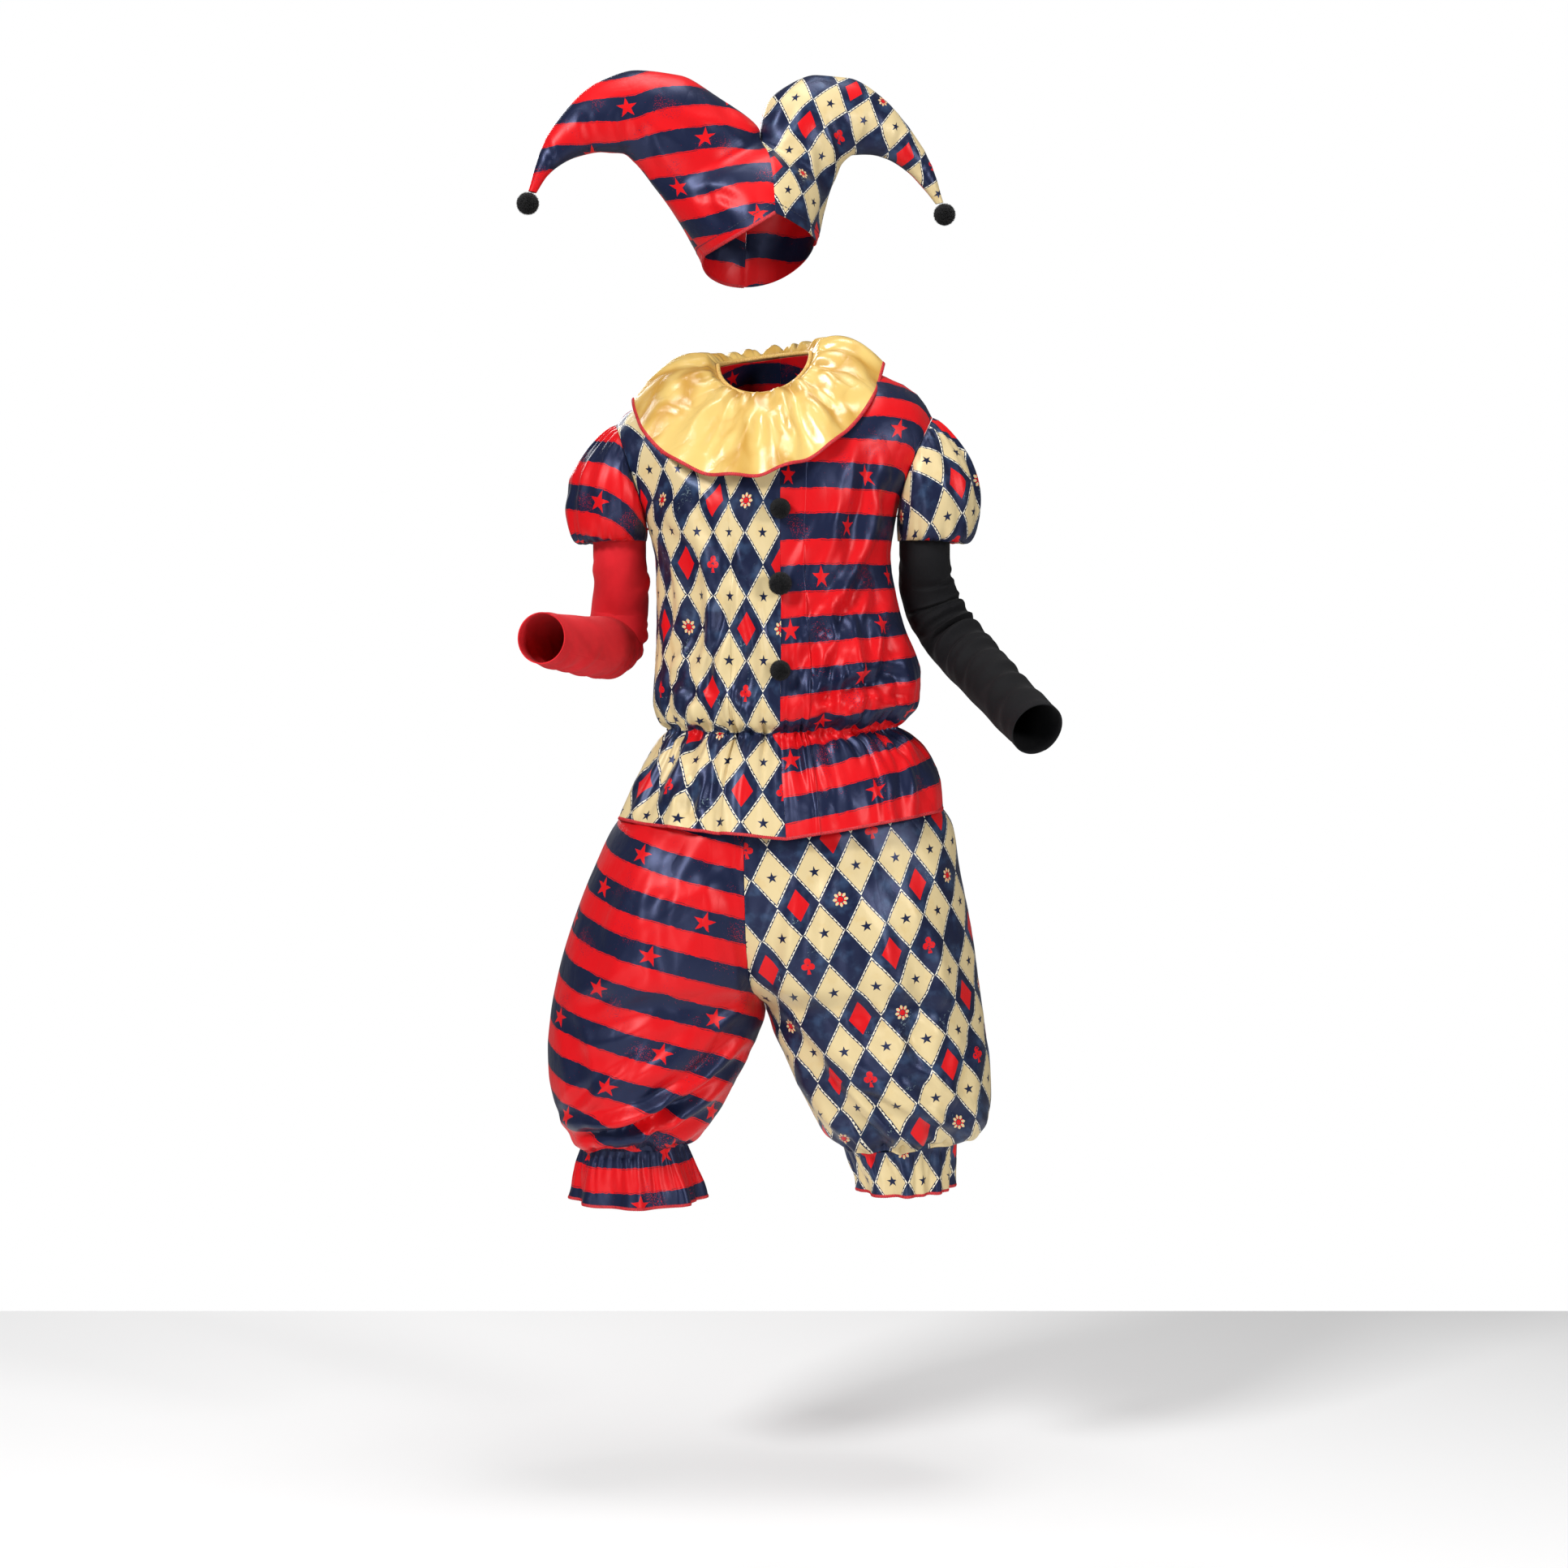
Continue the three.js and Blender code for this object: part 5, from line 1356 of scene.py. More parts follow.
def top_panel(side, face, columns=120, rows=112):
    table, out_y = TOP[side], OUTWARD_Y[face]
    flat = grid_of(columns, rows, lambda u, v: top_point(side, face, u, v))

    outward = facing_y(out_y)

    def seam(normal):
        line = np.linspace(0, 1, columns + 1)
        normal[:, 0, 0] = 0
        normal[:int(UNDERARM * rows) + 1, -1, 1] = 0
        normal[-1, line >= NECK_SHARE[side] - 0.001, 1] = 0
        return normal

    u, v = shares(flat)
    x, z = flat[..., 0], flat[..., 2]
    free = np.sin(math.pi * u) ** 0.5
    side_free = smooth(u, 0, 0.04) * smooth(1 - u, 0, 0.04)
    height = row_at(table, v)["gather"] * (1 - np.cos(TURN * top_gathers * u)) / 2
    seed = 20 + 2 * (side == "right") + (face == "back")
    folds = [*TOP_CREASES[side, face], *scattered(TOP_SMALL_FOLDS, OUTWARD_X[side], seed)]
    height += free * (1.9 * creases(folds, x, z) + drift(x, z, 70, 1.6, 11))
    above, below = v >= WAIST, v < WAIST
    height += side_free * above * pleats(u, v, WAIST, 17, 9.0, 0.14, seed)
    height += side_free * above * pleats(u, v, WAIST, 9, 8.0, 0.30, seed + 3) * smooth(v, WAIST, WAIST + 0.05)
    height += side_free * below * pleats(u, v, WAIST, 17, 9.0, 0.20, seed)
    height += side_free * below * pleats(u, v, WAIST, 8, 7.0, 0.5, seed + 6) * smooth(WAIST - v, 0, 0.05)
    ridge = np.exp(-((v - WAIST) / 0.011) ** 2)
    height += ridge * side_free * 1.5 * np.sin(TURN * (17 * u + 0.6 * np.sin(TURN * 3 * u)))
    height += seam_dip(flat) * (0.6 + 0.4 * np.sin(v * 190 + seed))
    grid = raised(flat, False, outward, height)
    prints = TOP_PRINTS[side, face]
    cloth = cloth_of(flat, start_row=int(WAIST * rows), width=top_cut_width, side=OUTWARD_X[side] * -out_y)
    cloth[..., 1] += waist_take_up * MM * smooth(v, WAIST - 0.012, WAIST + 0.02)
    cloth[..., 1] -= prints["tilt"] * np.abs(cloth[..., 0]) * (1 - smooth(v, WAIST, 0.8))
    cloth = turned(cloth, prints["turn"], prints["shift"])
    piece = shell(f"top_{face}_{side}_cloth", grid, False, outward, satin_thickness, cloth,
                  prints["finish"], seam)
    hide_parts(f"top_{face}_{side}")
    top_grids[side, face] = (grid, outward)
    return piece


top_pieces = {key: top_panel(*key) for key in PANELS}
print("top panels:", [(name, faces) for name, _, faces in cut_pieces[-4:]])

# %% [markdown]
# Each puff sleeve is one ring of cloth, gathered to the armhole and to a red band, and it blouses
# over the band at its outer side. The armhole's line is the edge of the top itself, so both always
# fit.

# %% Puff sleeves
sleeve_band_z = -215
sleeve_band_radius = 37.2
puff_armhole_gap = 0.6
puff_swell = {"outer": 50, "inner": 0.5, "blouse": 16}
puff_cut = (460, 150)
ARM_START = {"left": (-218, 12), "right": (203, 9)}
PUFF_CREASES = {
    "left": (
        (-60, -4, -72, -84, 9, 3.4, 5), (-28, -20, -34, -96, 8, 3.0, -4), (6, -10, 4, -90, 9, 3.6, 4),
        (38, -18, 46, -92, 8, 3.0, -4), (72, -8, 80, -80, 9, 3.2, 4), (-100, -20, -112, -84, 9, 3.0, 4),
        (112, -14, 120, -86, 9, 2.8, -4), (-46, -52, 20, -70, 7, 2.0, 5), (150, -14, 158, -80, 9, 2.6, 4),
        (-150, -14, -158, -80, 9, 2.6, 4), (-200, -14, -204, -80, 9, 2.4, 4), (200, -14, 206, -84, 9, 2.6, 4),
        (240, -20, 236, -80, 9, 2.2, 4),
    ),
    "right": (
        (-66, -6, -58, -86, 9, 3.2, -5), (-30, -14, -24, -92, 8, 3.2, 4), (2, -8, 10, -90, 9, 3.4, -4),
        (40, -16, 36, -94, 8, 2.8, 4), (78, -6, 70, -82, 9, 3.4, -4), (-104, -16, -98, -80, 9, 2.8, 4),
        (118, -18, 110, -84, 9, 2.8, 4), (12, -56, 60, -46, 7, 2.0, -5), (156, -12, 150, -82, 9, 2.8, -4),
        (-152, -12, -146, -82, 9, 2.6, 4), (-204, -16, -198, -80, 9, 2.4, 4), (204, -12, 196, -84, 9, 2.4, 4),
        (-244, -20, -236, -80, 9, 2.2, 4),
    ),
}
PUFF_PRINTS = {
    "left": {"finish": "striped satin", "turn": 0, "shift": (0, 0)},
    "right": {"finish": "lozenge satin", "turn": 0, "shift": (0, 0)},
}


def ring_direction(side, turn):
    return points(-OUTWARD_X[side] * np.cos(TURN * turn), -np.sin(TURN * turn), 0)


def armhole(side, turn):
    """The edge of the top round the arm; the turn runs from the underarm over the front and back."""
    lift = (1 - np.cos(TURN * turn)) / 2
    place = mix(UNDERARM, 1, lift)
    front = top_point(side, "front", np.ones_like(place), place)
    back = top_point(side, "back", np.ones_like(place), place)
    edge = np.where((np.asarray(turn) <= 0.5)[..., None], front, back)
    edge[..., 0] += OUTWARD_X[side] * puff_armhole_gap
    return edge


def puff(side, columns=140, rows=50):
    out_x = OUTWARD_X[side]
    start = np.array([*ARM_START[side], sleeve_band_z])

    def place(u, v):
        away = (1 - np.cos(TURN * u)) / 2
        out = ring_direction(side, u)
        fullness = np.abs(np.sin(math.pi * v ** 1.25)) ** 0.5
        swell = mix(puff_swell["inner"], puff_swell["outer"], away) * fullness
        spot = mix(armhole(side, u), start + out * sleeve_band_radius, v[..., None]) + out * swell[..., None]
        spot[..., 2] -= 4 * puff_swell["blouse"] * (v ** 6 - v ** 12) * away
        return spot

    flat = grid_of(columns, rows, place)
    u, v = shares(flat)
    away = (1 - np.cos(TURN * u)) / 2
    across = (u - 0.5) * puff_cut[0]

    def outward(spot):
        return np.array([spot[0] - start[0], spot[1] - start[1], 0])

    height = creases(PUFF_CREASES[side], across, -v * 100) * np.sin(math.pi * v) ** 0.3 * (0.2 + 0.8 * away)
    seed = 31 + (side == "right")
    head = pleats(u, v, 0.0, 30, 7.0, 0.26, seed, ring=True) * smooth(v, 0, 0.06)
    band = pleats(u, v, 1.0, 26, 7.0, 0.3, seed + 2, ring=True) * smooth(1 - v, 0, 0.05)
    height += (head + band) * (0.15 + 0.85 * away)
    height += drift(across, v * 120, 50, 1.4, 35) * np.sin(math.pi * v) * away
    grid = raised(flat, True, outward, np.maximum(height, -7))
    prints = PUFF_PRINTS[side]
    cloth = cloth_of(flat, start_row=rows // 2, width=puff_cut[0], side=out_x, up=-1)
    cloth[..., 0] -= out_x * puff_cut[0] * 0.35 * MM
    cloth = turned(cloth, prints["turn"], prints["shift"])
    piece = shell(f"puff_sleeve_{side}_cloth", grid, True, outward, satin_thickness, cloth,
                  prints["finish"])
    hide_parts(f"puff_sleeve_{side}")
    return piece


puff_pieces = {side: puff(side) for side in ("left", "right")}
print("puff sleeves:", cut_pieces[-2:])

# %% [markdown]
# The knitted under-sleeves come out of the puffs and end open at the wrist. Each
# is bent at the elbow, so the knit bunches at the inner bend and is drawn tight over the outer one.

# %% Under-sleeves
under_sleeve_top = -209
under_sleeve_below_band = -236
under_sleeve_radius = 35
ARM_ROUTE = {
    "left": (
        (-217, 26, -272, 36.5), (-220, 42, -316, 38.5), (-226, 38, -348, 40), (-240, 4, -360, 40),
        (-259, -48, -359, 38.5), (-284, -112, -355, 36), (-312, -184, -349, 33),
    ),
    "right": (
        (206, 26, -270, 37.5), (216, 36, -304, 39.5), (236, 30, -338, 40.5), (262, 4, -372, 40),
        (288, -42, -403, 38.5), (316, -98, -436, 37.5), (346, -162, -470, 37.5),
    ),
}
UNDER_FINISH = {"left": "red knit", "right": "black knit"}
# In sleeve places: x round the tube (0 is its middle, towards the inner bend) and z down it.
UNDER_CREASES = {
    "left": (
        (-60, -196, 46, -176, 8, 3.4, 6), (-70, -214, 54, -206, 8, 4.0, -4), (-64, -232, 50, -238, 8, 3.8, 4),
        (-52, -250, 58, -268, 9, 3.6, 6), (-40, -268, 40, -298, 8, 2.8, 5), (-46, -176, 30, -150, 8, 2.6, 4),
        (-30, -320, 60, -340, 9, 2.4, 5), (-70, -350, 20, -366, 8, 2.2, -4), (-60, -392, 44, -400, 8, 2.0, 4),
        (-90, -120, 10, -96, 9, 1.8, 5), (60, -90, 100, -60, 9, 1.6, 4),
    ),
    "right": (
        (-66, -170, 52, -150, 8, 3.2, 6), (-60, -198, 60, -190, 9, 3.8, -4), (-66, -222, 54, -232, 8, 3.4, 5),
        (-50, -252, 56, -268, 9, 3.2, 5), (-58, -292, 46, -312, 8, 2.6, 4), (-70, -336, 30, -348, 8, 2.4, -4),
        (-50, -376, 60, -390, 9, 2.2, 4), (-84, -110, 20, -90, 9, 1.8, 5), (50, -70, 100, -50, 9, 1.6, 4),
    ),
}


def tube_frame(side, stations):
    """Two crossing directions at each station of the arm, carried along without twist."""
    first = ring_direction(side, 0.0)
    along = np.gradient(stations, axis=0)
    along /= np.linalg.norm(along, axis=1, keepdims=True)
    firsts = []
    for heading in along:
        first = first - heading * np.dot(first, heading)
        first = first / np.linalg.norm(first)
        firsts.append(first)
    firsts = np.array(firsts)
    return firsts, np.cross(firsts, along) * -OUTWARD_X[side]


def under_sleeve(side, columns=72, rows=112):
    x, y = ARM_START[side]
    table = table_of("x y z radius", (
        (x, y, under_sleeve_top, under_sleeve_radius), (x, y, under_sleeve_below_band, under_sleeve_radius),
        *ARM_ROUTE[side],
    ))
    row = row_at(table, np.linspace(0, 1, rows + 1))
    middle = np.stack([row["x"], row["y"], row["z"]], axis=1)
    first, second = tube_frame(side, middle)

    def place(u, v):
        angle = TURN * u[..., None]
        spot = np.rint(v * rows).astype(int)
        return middle[spot] + row["radius"][spot][..., None] * (first[spot] * np.cos(angle)
                                                                + second[spot] * np.sin(angle))

    flat = grid_of(columns, rows, place)
    u, v = shares(flat)

    def outward(spot):
        return spot - middle[rows // 2]

    facing = normals_of(flat, True, outward)
    bend = np.gradient(np.gradient(middle, axis=0), axis=0)
    bend /= np.maximum(np.linalg.norm(bend, axis=1, keepdims=True), 1e-6)
    elbow = bend[int(0.55 * rows)]
    inner = np.einsum("ijk,k->ij", facing, elbow)
    inner_column = inner[int(0.55 * rows), :-1].argmax() / columns
    across = ((u - inner_column + 0.5) % 1 - 0.5) * 230
    tight = 0.35 + 0.65 * smooth(inner, -0.6, 0.6)
    height = 1.7 * creases(UNDER_CREASES[side], across, -v * 420) * tight
    height *= smooth(v, 0.1, 0.16) * smooth(1 - v, 0, 0.05)
    height += drift(across, v * 420, 42, 1.0, 41) * smooth(v, 0.12, 0.2)
    hem = np.exp(-((v - 0.972) / 0.006) ** 2)
    grid = raised(flat, True, outward, np.maximum(height, -6) - 0.9 * hem)
    cloth = cloth_of(flat, width=230, side=OUTWARD_X[side], up=-1)
    piece = shell(f"under_sleeve_{side}_cloth", grid, True, outward, knit_thickness, cloth,
                  UNDER_FINISH[side])
    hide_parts(f"under_sleeve_{side}")
    return piece


under_pieces = {side: under_sleeve(side) for side in ("left", "right")}
print("under-sleeves:", cut_pieces[-2:])

# %% [markdown]
# The bloomers are two legs, each of a front and a back panel, drawn in by elastic at the waist and
# under the knee. They are widest at the knee, where the cloth hangs over the elastic in long slack
# folds.

# %% Leg tables
LEG_COLUMNS = "inner_x inner_z outer_x outer_z seam leg gather"
LEGS = {
    "left": table_of(LEG_COLUMNS, (
        (-34, -505, -148, -504, 92, 30, 3),
        (-40, -562, -184, -556, 116, 34, 3),
        (-45, -630, -228.4, -612, 133, 46, 0),
        (-44, -700, -257, -674, 135, 84, 0),
        (-42, -765, -283, -742, 122, 106, 0),
        (-36, -822, -303, -810, 92, 122, 0),
        (-16, -862, -314, -868, 0, 130, 0),
        (-26, -896, -318, -912, 0, 131, 0),
        (-44, -934, -317, -950, 0, 130, 0),
        (-63, -972, -311, -984, 0, 125, 1),
        (-83, -1007, -300, -1014, 0, 114, 4),
        (-107, -1036, -286, -1040, 0, 95, 5),
        (-126, -1046, -272, -1050, 0, 72, 3),
    )),
    "right": table_of(LEG_COLUMNS, (
        (-34, -505, 162, -500, 92, 30, 3),
        (-40, -562, 196, -548, 116, 34, 3),
        (-45, -630, 242, -606, 133, 46, 0),
        (-44, -700, 252, -668, 135, 84, 0),
        (-42, -765, 267, -740, 122, 106, 0),
        (-36, -822, 278, -815, 92, 122, 0),
        (-16, -862, 286, -876, 0, 130, 0),
        (-4, -895, 291, -912, 0, 131, 0),
        (13, -932, 295, -946, 0, 130, 0),
        (30, -968, 296, -980, 0, 125, 1),
        (47, -1004, 292, -1010, 0, 114, 4),
        (67, -1037, 277, -1034, 0, 95, 5),
        (92, -1054, 250, -1043, 0, 72, 3),
    )),
}
LEG_CREASES = {
    ("left", "front"): (
        (-52, -905, -290, -1012, 11, -6.0, 26), (-48, -918, -284, -1030, 12, 7.0, 26),
        (-42, -930, -272, -1040, 10, -6.0, 24), (-44, -948, -236, -1046, 11, 6.5, 18),
        (-60, -972, -196, -1046, 9, -4.6, 12), (-87, -900, -240, -980, 18, 4.0, 12),
        (-70, -860, -250, -925, 20, 3.2, 14), (-24, -860, -92, -926, 12, 4.4, -8),
        (-200, -640, -262, -780, 16, 3.0, -8), (-90, -640, -60, -790, 14, 2.4, 8),
        (-140, -640, -170, -780, 13, 2.0, -6), (-60, -700, -36, -846, 12, 3.0, 8),
        (-290, -860, -268, -980, 12, 3.4, 6), (-160, -830, -280, -880, 14, 2.4, 10),
    ),
    ("right", "front"): (
        (40, -900, 140, -1010, 18, 5, -10), (240, -700, 262, -900, 22, 4, 8),
        (-14, -860, 60, -948, 12, 5.6, 8), (39, -975, 96, -1046, 10, 6.0, -5),
        (20, -930, 84, -1030, 10, -5.0, -6), (60, -960, 150, -1040, 11, 5.6, -10),
        (120, -960, 210, -1020, 12, 4.0, -8), (170, -930, 262, -1000, 12, 3.6, -8),
        (96, -1000, 130, -1040, 9, 3.4, 4), (200, -1000, 250, -1034, 9, 3.4, -5),
        (60, -640, 40, -800, 14, 2.4, -8), (140, -640, 170, -800, 14, 2.2, 8),
        (10, -700, -8, -846, 12, 2.8, -8), (270, -880, 254, -990, 11, 3.0, -6),
        (90, -840, 200, -880, 13, 2.2, -10),
    ),
    ("left", "back"): (
        (-80, -910, -214, -996, 19, 5.4, 10), (-60, -866, -240, -916, 20, 4, 14),
        (-30, -866, -100, -940, 12, 4.4, -8), (-180, -984, -268, -1034, 11, 4.2, 8),
        (-110, -984, -230, -1016, 11, 4.0, 9), (-96, -640, -110, -800, 16, 3.0, -8),
        (-170, -650, -200, -800, 14, 2.4, 6), (-280, -850, -262, -980, 12, 3.2, 6),
    ),
    ("right", "back"): (
        (34, -896, 150, -1004, 20, 5.2, -10), (20, -862, 190, -920, 20, 3.8, -12),
        (0, -866, 70, -940, 12, 4.2, 8), (130, -970, 232, -1026, 12, 4.0, -8),
        (80, -990, 120, -1040, 10, 3.6, 5), (70, -640, 90, -800, 16, 2.8, 8),
        (160, -650, 186, -800, 14, 2.4, -6), (262, -850, 252, -980, 12, 3.2, -6),
    ),
}
LEG_SMALL_FOLDS = (
    ((90, -1030), (270, -940), 50, 20, 8, 4.4, (80, 170), (8, 13)),
    ((40, -920), (270, -640), 30, 34, 10, 3.2, (110, 240), (12, 20)),
)
LEG_PRINTS = {
    ("left", "front"): {"finish": "striped satin", "turn": 16, "shift": (0, 48)},
    ("right", "front"): {"finish": "lozenge satin", "turn": -9, "shift": (26, 12)},
    ("left", "back"): {"finish": "striped satin", "turn": -8, "shift": (30, 10)},
    ("right", "back"): {"finish": "striped satin", "turn": 8, "shift": (70, 24)},
}
CROTCH = 6 / 12
leg_gathers = 3
crotch_height = -846
print_hang = {"left": 1.12, "right": 1.04}

# %% [markdown]
# The two fronts meet in one seam down the middle as far as the crotch, and so do the two backs, so
# both legs take that line from the left one.

# %% Leg panels
def leg_point(side, face, u, v):
    own, shared = row_at(LEGS[side], v), row_at(LEGS["left"], v)
    inner_x = np.where(v <= CROTCH, shared["inner_x"], own["inner_x"])
    inner_z = np.where(v <= CROTCH, shared["inner_z"], own["inner_z"])
    w = (1 - np.cos(math.pi * u)) / 2
    depth = np.sqrt(np.maximum(own["seam"], 0) ** 2 * (1 - w * w) + own["leg"] ** 2 * 4 * w * (1 - w))
    return points(mix(inner_x + OUTWARD_X[side] * seam_gap / 2, own["outer_x"], w),
                  OUTWARD_Y[face] * (depth + seam_gap / 2), mix(inner_z, own["outer_z"], w))


def leg_panel(side, face, columns=110, rows=108):
    out_y = OUTWARD_Y[face]
    flat = grid_of(columns, rows, lambda u, v: leg_point(side, face, u, v))

    outward = facing_y(out_y)

    crotch_row = int(CROTCH * rows)

    def seam(normal):
        normal[:, -1, 1] = 0
        normal[crotch_row:, 0, 1] = 0
        normal[:crotch_row + 1, 0, 0] = 0
        return normal

    u, v = shares(flat)
    x, z = flat[..., 0], flat[..., 2]
    free = np.sin(math.pi * u) ** 0.5
    window = smooth(u, 0, 0.04) * smooth(1 - u, 0, 0.04)
    seed = 50 + 2 * (side == "right") + (face == "back")
    height = row_at(LEGS[side], v)["gather"] * (1 - np.cos(TURN * leg_gathers * u)) / 2
    folds = [*LEG_CREASES[side, face], *scattered(LEG_SMALL_FOLDS, OUTWARD_X[side], seed)]
    height += free * (1.5 * creases(folds, x, z) + drift(x, z, 90, 2.2, seed))
    knee = pleats(u, v, 1.0, 19, 8.0, 0.07, seed) + pleats(u, v, 0.98, 9, 9.0, 0.17, seed + 5)
    height += window * knee * smooth(1 - v, 0, 0.012)
    height += window * pleats(u, v, 0.0, 18, 3.4, 0.08, seed + 10)
    pull = 0.6 + 0.4 * np.sin(v * 210 + seed)
    height += seam_dip(flat) * pull * smooth(v, 0, 0.02) * smooth(1 - v, 0, 0.02)
    grid = raised(flat, False, outward, height)
    prints = LEG_PRINTS[side, face]
    cloth = cloth_of(flat, start_column=columns // 2, side=OUTWARD_X[side] * -out_y)
    cloth[..., 0] += (x - x[crotch_row])[:, columns // 2, None] * -out_y * MM
    cloth[..., 1] = print_hang[side] * (z - crotch_height) * MM
    cloth = turned(cloth, prints["turn"], prints["shift"])
    piece = shell(f"leg_{face}_{side}_cloth", grid, False, outward, satin_thickness, cloth,
                  prints["finish"], seam)
    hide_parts(f"leg_{face}_{side}")
    return piece


leg_pieces = {key: leg_panel(*key) for key in PANELS}
print("legs:", cut_pieces[-4:])

# %% [markdown]
# A frill hangs below the elastic of each knee. It is a strip about one and a half times as long
# as the knee is round, so it falls in waves, and its hem swings out further than its top.

# %% Knee frills
FRILL_COLUMNS = "x z across deep tilt wave"
FRILLS = {
    "left": table_of(FRILL_COLUMNS, (
        (-199, -1048, 73, 72, 0.027, 1), (-198, -1076, 84, 80, 0.02, 6),
        (-195, -1104, 92, 86, 0.01, 9), (-194, -1122, 96, 90, 0, 11),
    )),
    "right": table_of(FRILL_COLUMNS, (
        (171, -1048.5, 79, 72, 0.07, 1), (174, -1070, 76, 72, 0.06, 5),
        (177, -1090, 71, 72, 0.05, 7), (178, -1108, 69, 72, 0.04, 8),
    )),
}
frill_waves = 8
frill_gap = 1.2
frill_front_drop = 4
frill_flute = 3.2
FRILL_PRINTS = {
    "left": {"finish": "striped satin", "turn": 0, "shift": (0, -12), "width": 640},
    "right": {"finish": "lozenge satin", "turn": 0, "shift": (0, 0), "width": 540},
}
frill_grids = {}


def frill(side, columns=220, rows=26):
    table = FRILLS[side]

    def place(u, v):
        row = row_at(table, v)
        angle = TURN * u
        wave = row["wave"] * (np.cos(frill_waves * angle + 0.5 * np.sin(angle)) - 1) / 2
        across = np.cos(angle) * (row["across"] + wave)
        return points(row["x"] + across, np.sin(angle) * (row["deep"] + wave),
                      row["z"] - frill_gap + row["tilt"] * across + frill_front_drop * np.sin(angle) * v)

    flat = grid_of(columns, rows, place)
    u, v = shares(flat)
    middle = table["x"].mean()

    def outward(spot):
        return np.array([spot[0] - middle, spot[1], 0])

    seed = 70 + (side == "right")
    height = pleats(u, v, 0.0, 34, 6.0, 0.8, seed, ring=True) * smooth(v, 0, 0.12)
    height += drift(flat[..., 0] + flat[..., 1], flat[..., 2], 30, 0.9, seed) * v
    height += frill_flute * smooth(v, 0.1, 1) * np.sin(TURN * (13 * u + 0.5 * np.sin(TURN * 2 * u + seed)))
    grid = raised(flat, True, outward, height)
    prints = FRILL_PRINTS[side]
    cloth = cloth_of(flat, width=prints["width"], up=-1, turn=prints["turn"], shift=prints["shift"])
    piece = shell(f"knee_frill_{side}_cloth", grid, True, outward, satin_thickness, cloth,
                  prints["finish"])
    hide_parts(f"knee_frill_{side}")
    frill_grids[side] = (grid, outward)
    return piece


frill_pieces = {side: frill(side) for side in ("left", "right")}
print("frills:", cut_pieces[-2:])

# %% [markdown]
# The hems of the peplum and the frills, and the left half of the brim, are overlocked in red. The
# elastic of the waist lies inside the cloth and shows only as the sunken line that the gathers above
# already make. A line of short stitches holds the brim's turned-up hem.

# %% Hems and stitches
hem_across, hem_thick = 2.3, 1.2


def hem_of(name, grid, ring, outward, row, move=None, closed=False, across=hem_across):
    line, facing = edge_of(grid, ring, outward, row, across * 0.55, satin_thickness, move)
    return swept(name, line, facing, across, hem_thick, closed, "red thread")


top_hems = {key: hem_of(f"top_hem_{key[1]}_{key[0]}", grid, False, outward, 0)
            for key, (grid, outward) in top_grids.items()}
frill_hems = {side: hem_of(f"frill_hem_{side}", grid, True, outward, -1, closed=True)
              for side, (grid, outward) in frill_grids.items()}
brim_edges = {key: hem_of(f"brim_edge_{key[1]}_{key[0]}", grid, False, outward, 0, hat_to_world, across=2.6)
              for key, (grid, outward) in hat_grids.items() if key[0] == "left"}


def stitched(name, grid, outward, row, finish, move=None, length=3.2, gap=1.8, across=0.45):
    """Short stitches along one row of a grid, each a small flattened bar that sits on the cloth."""
    facing = normals_of(grid, False, outward)[row]
    line = grid[row] + facing * 0.1
    if move is not None:
        tip, line = move(line + facing), move(line)
        facing = tip - line
    line, out = resampled(line, facing, length + gap, False)
    along = np.diff(line, axis=0)
    along /= np.linalg.norm(along, axis=1, keepdims=True)
    line, out = line[:-1], out[:-1]
    beside = np.cross(along, out)
    corners, faces = [], []
    for part, (start, heading, sideways, up) in enumerate(zip(line, along, beside, out)):
        base = part * 8
        for far in (0, length):
            for left in (-across, across):
                for high in (-across, across * 0.9):
                    corners.append(start + heading * far + sideways * left + up * high)
        faces += [[base + index for index in quad] for quad in (
            (0, 1, 3, 2), (4, 6, 7, 5), (0, 4, 5, 1), (2, 3, 7, 6), (0, 2, 6, 4), (1, 5, 7, 3))]
    return new_piece(name, np.array(corners) * MM, faces, finish)


for (side, face), (grid, outward) in hat_grids.items():
    stitched(
        f"brim_stitches_{face}_{side}", grid, outward, 3, "navy thread", hat_to_world)

# %% [markdown]
# The pompoms are cut yarn: thousands of short strands tied at the middle, so they stand out all
# round. Each strand here is a thin three-sided spike with a slight bend, and a dark core stops
# one from seeing through.

# %% Pompoms
strands_each = 3400
strand_half_width = 0.42
hat_pompom_gap = 0.48
POMPOM_BUTTONS = {
    # height, radius and the reach of the cloth under it
    "pompom_button_1": (-176, 14.9, 120),
    "pompom_button_2": (-276, 16.8, 122),
    "pompom_button_3": (-392, 14.9, 127),
}
button_x = 4
button_clearance = 1.3


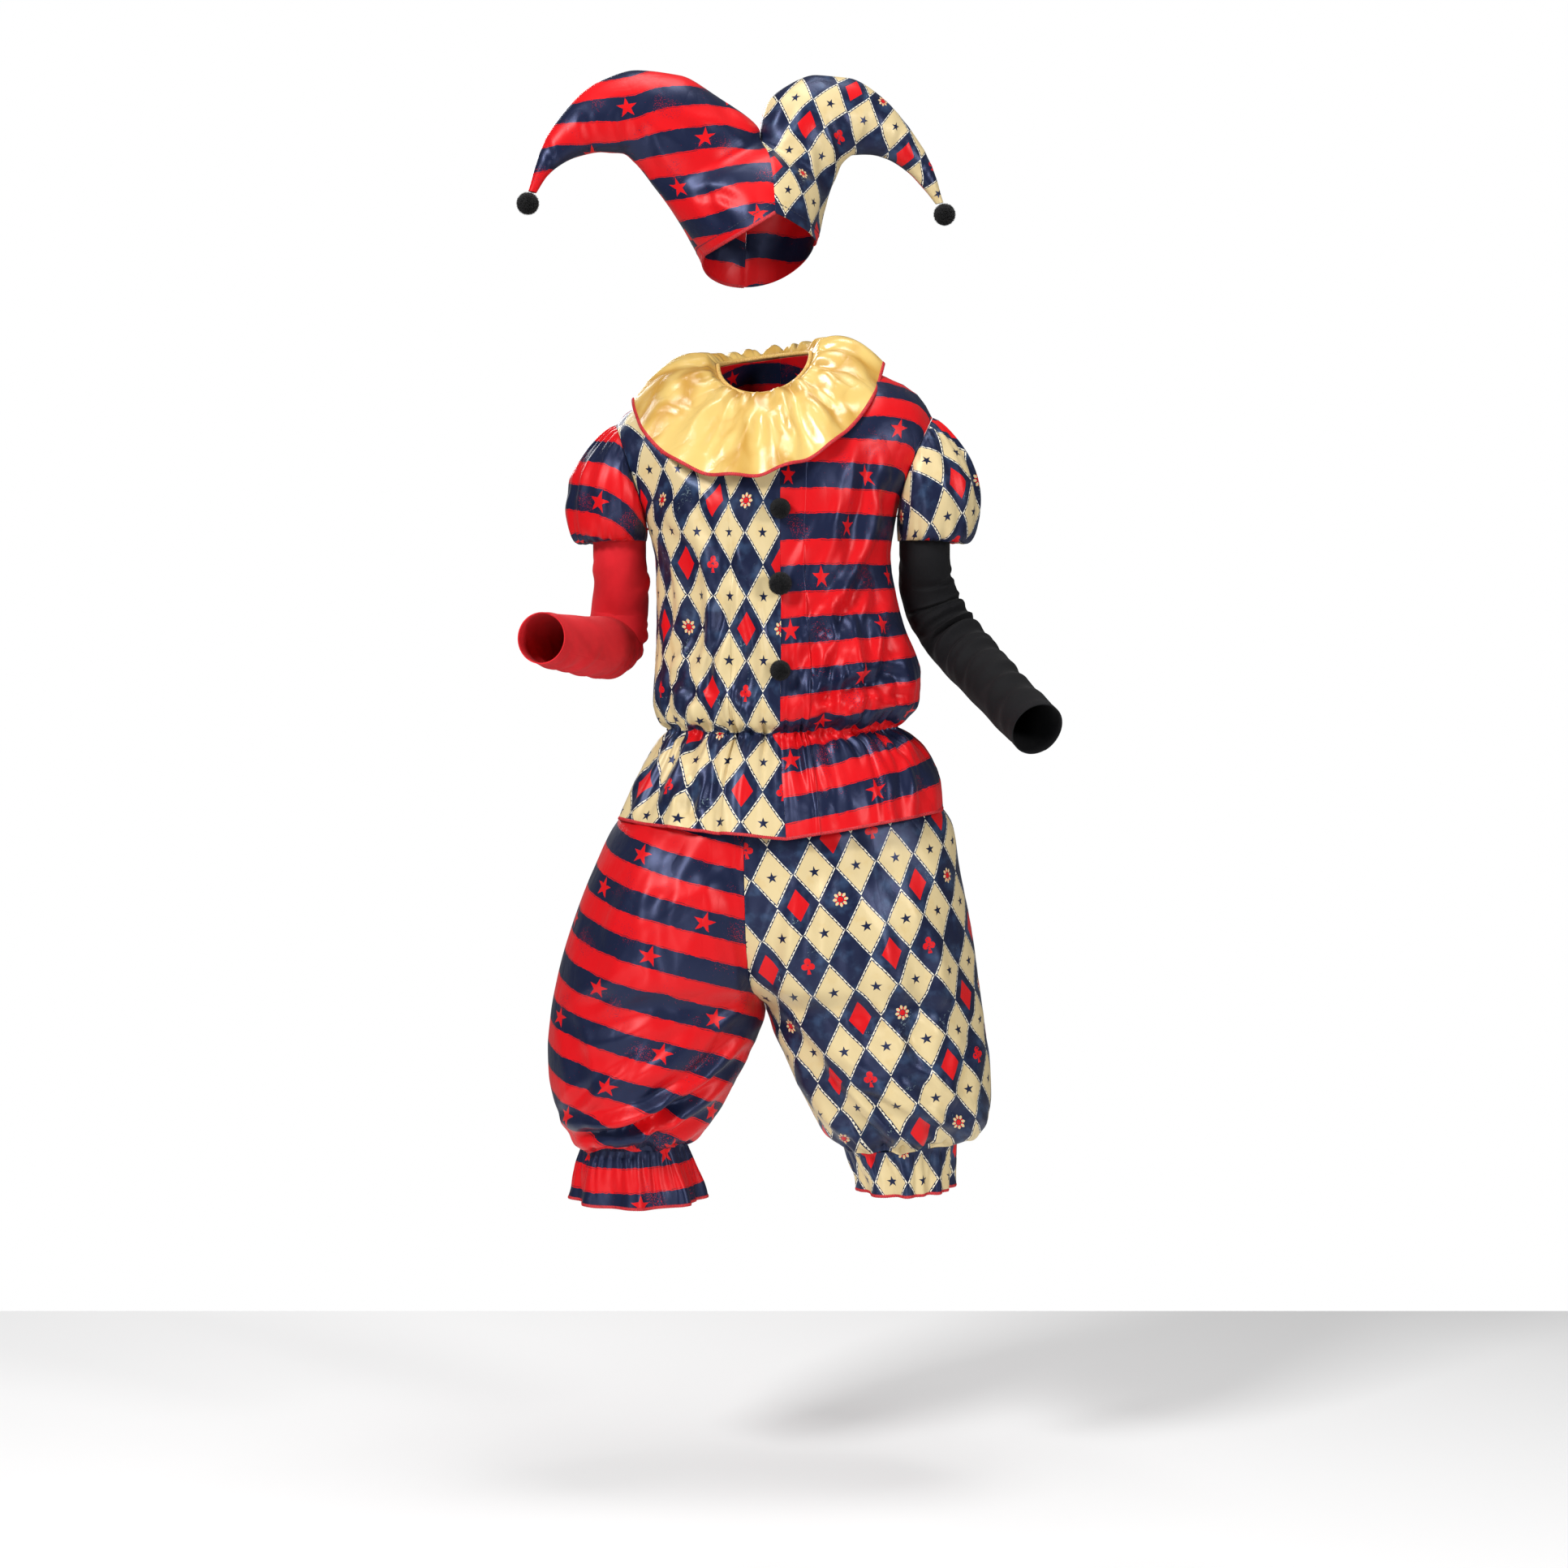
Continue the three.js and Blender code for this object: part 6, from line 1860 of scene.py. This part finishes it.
def pompom(name, middle, radius, seed):
    draw = np.random.default_rng(seed)
    order = np.arange(strands_each) + 0.5
    lift = 1 - 2 * order / strands_each
    spin = order * math.pi * (3 - math.sqrt(5))
    level = np.sqrt(1 - lift ** 2)
    heading = np.stack([level * np.cos(spin), level * np.sin(spin), lift], axis=1)
    heading += draw.normal(0, 0.05, heading.shape)
    heading /= np.linalg.norm(heading, axis=1, keepdims=True)
    first = np.cross(heading, draw.normal(size=heading.shape))
    first /= np.linalg.norm(first, axis=1, keepdims=True)
    second = np.cross(heading, first)
    bend = first * draw.normal(0, 0.055, (strands_each, 1))
    bend += second * draw.normal(0, 0.055, (strands_each, 1))
    reach = radius * draw.uniform(0.9, 1.0, (strands_each, 1))
    rings = []
    for place, width in ((0.62, 1.0), (0.84, 0.9)):
        centre = (heading + bend * (place - 0.62) ** 2 * 4) * reach * place
        for third in range(3):
            angle = TURN * third / 3
            beside = first * math.cos(angle) + second * math.sin(angle)
            rings.append(centre + beside * strand_half_width * width)
    tip = (heading + bend) * reach / np.linalg.norm(heading + bend, axis=1, keepdims=True)
    spots = np.stack([*rings, tip], axis=1).reshape(-1, 3)
    base = np.arange(strands_each)[:, None] * 7
    quads = np.concatenate([base + np.array([[a, (a + 1) % 3, 3 + (a + 1) % 3, 3 + a]]) for a in range(3)])
    tops = np.concatenate([base + np.array([[3 + a, 3 + (a + 1) % 3, 6]]) for a in range(3)])
    around, down = 20, 12
    turn, fall = np.meshgrid(np.arange(around) / around * TURN, np.arange(1, down) / down * math.pi)
    ball = points(np.sin(fall) * np.cos(turn), np.sin(fall) * np.sin(turn), np.cos(fall)).reshape(-1, 3)
    ball = np.concatenate([ball, [[0, 0, 1], [0, 0, -1]]]) * radius * 0.74
    start = len(spots)
    faces = quads.tolist() + tops.tolist()
    for row in range(down - 2):
        for column in range(around):
            a, b = row * around + column, row * around + (column + 1) % around
            faces.append([start + a, start + a + around, start + b + around, start + b])
    north, south = start + len(ball) - 2, start + len(ball) - 1
    last = start + (down - 2) * around
    for column in range(around):
        following = (column + 1) % around
        faces.append([start + column, start + following, north])
        faces.append([last + following, last + column, south])
    places = (np.concatenate([spots, ball]) + middle) * MM
    piece = new_piece(f"{name}_yarn", places, faces, "black yarn")
    piece.data.shade_smooth()
    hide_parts(name)
    return piece


def horn_tip(side):
    """The middle of a horn's last line, and the direction in which the horn ends."""
    table = HORNS[side]
    ends = [points((table["top_x"][row] + table["under_x"][row]) / 2, 0,
                   (table["front_z"][row] + table["under_z"][row]) / 2) for row in (-2, -1)]
    heading = ends[1] - ends[0]
    return ends[1], heading / np.linalg.norm(heading)


pompoms = {}
for index, side in enumerate(("left", "right")):
    end, heading = horn_tip(side)
    middle = hat_to_world(end + heading * (hat_pompom_radius + hat_pompom_gap))
    pompoms[side] = pompom(f"hat_pompom_{side}", middle, hat_pompom_radius, 80 + index)
for index, (name, (height, radius, reach)) in enumerate(POMPOM_BUTTONS.items()):
    middle = np.array([button_x, -(reach + radius + button_clearance), height])
    pompoms[name] = pompom(name, middle, radius, 90 + index)
print("pompoms:", len(pompoms), "with", strands_each, "strands each")

# %% [markdown]
# Every shell of cloth was noted as it was made, with its name, the area of its right side in square
# metres and the number of its triangles. Here the script prints how many there are.

# %% Cloth pieces
print("sheets declared:", len(cut_pieces))
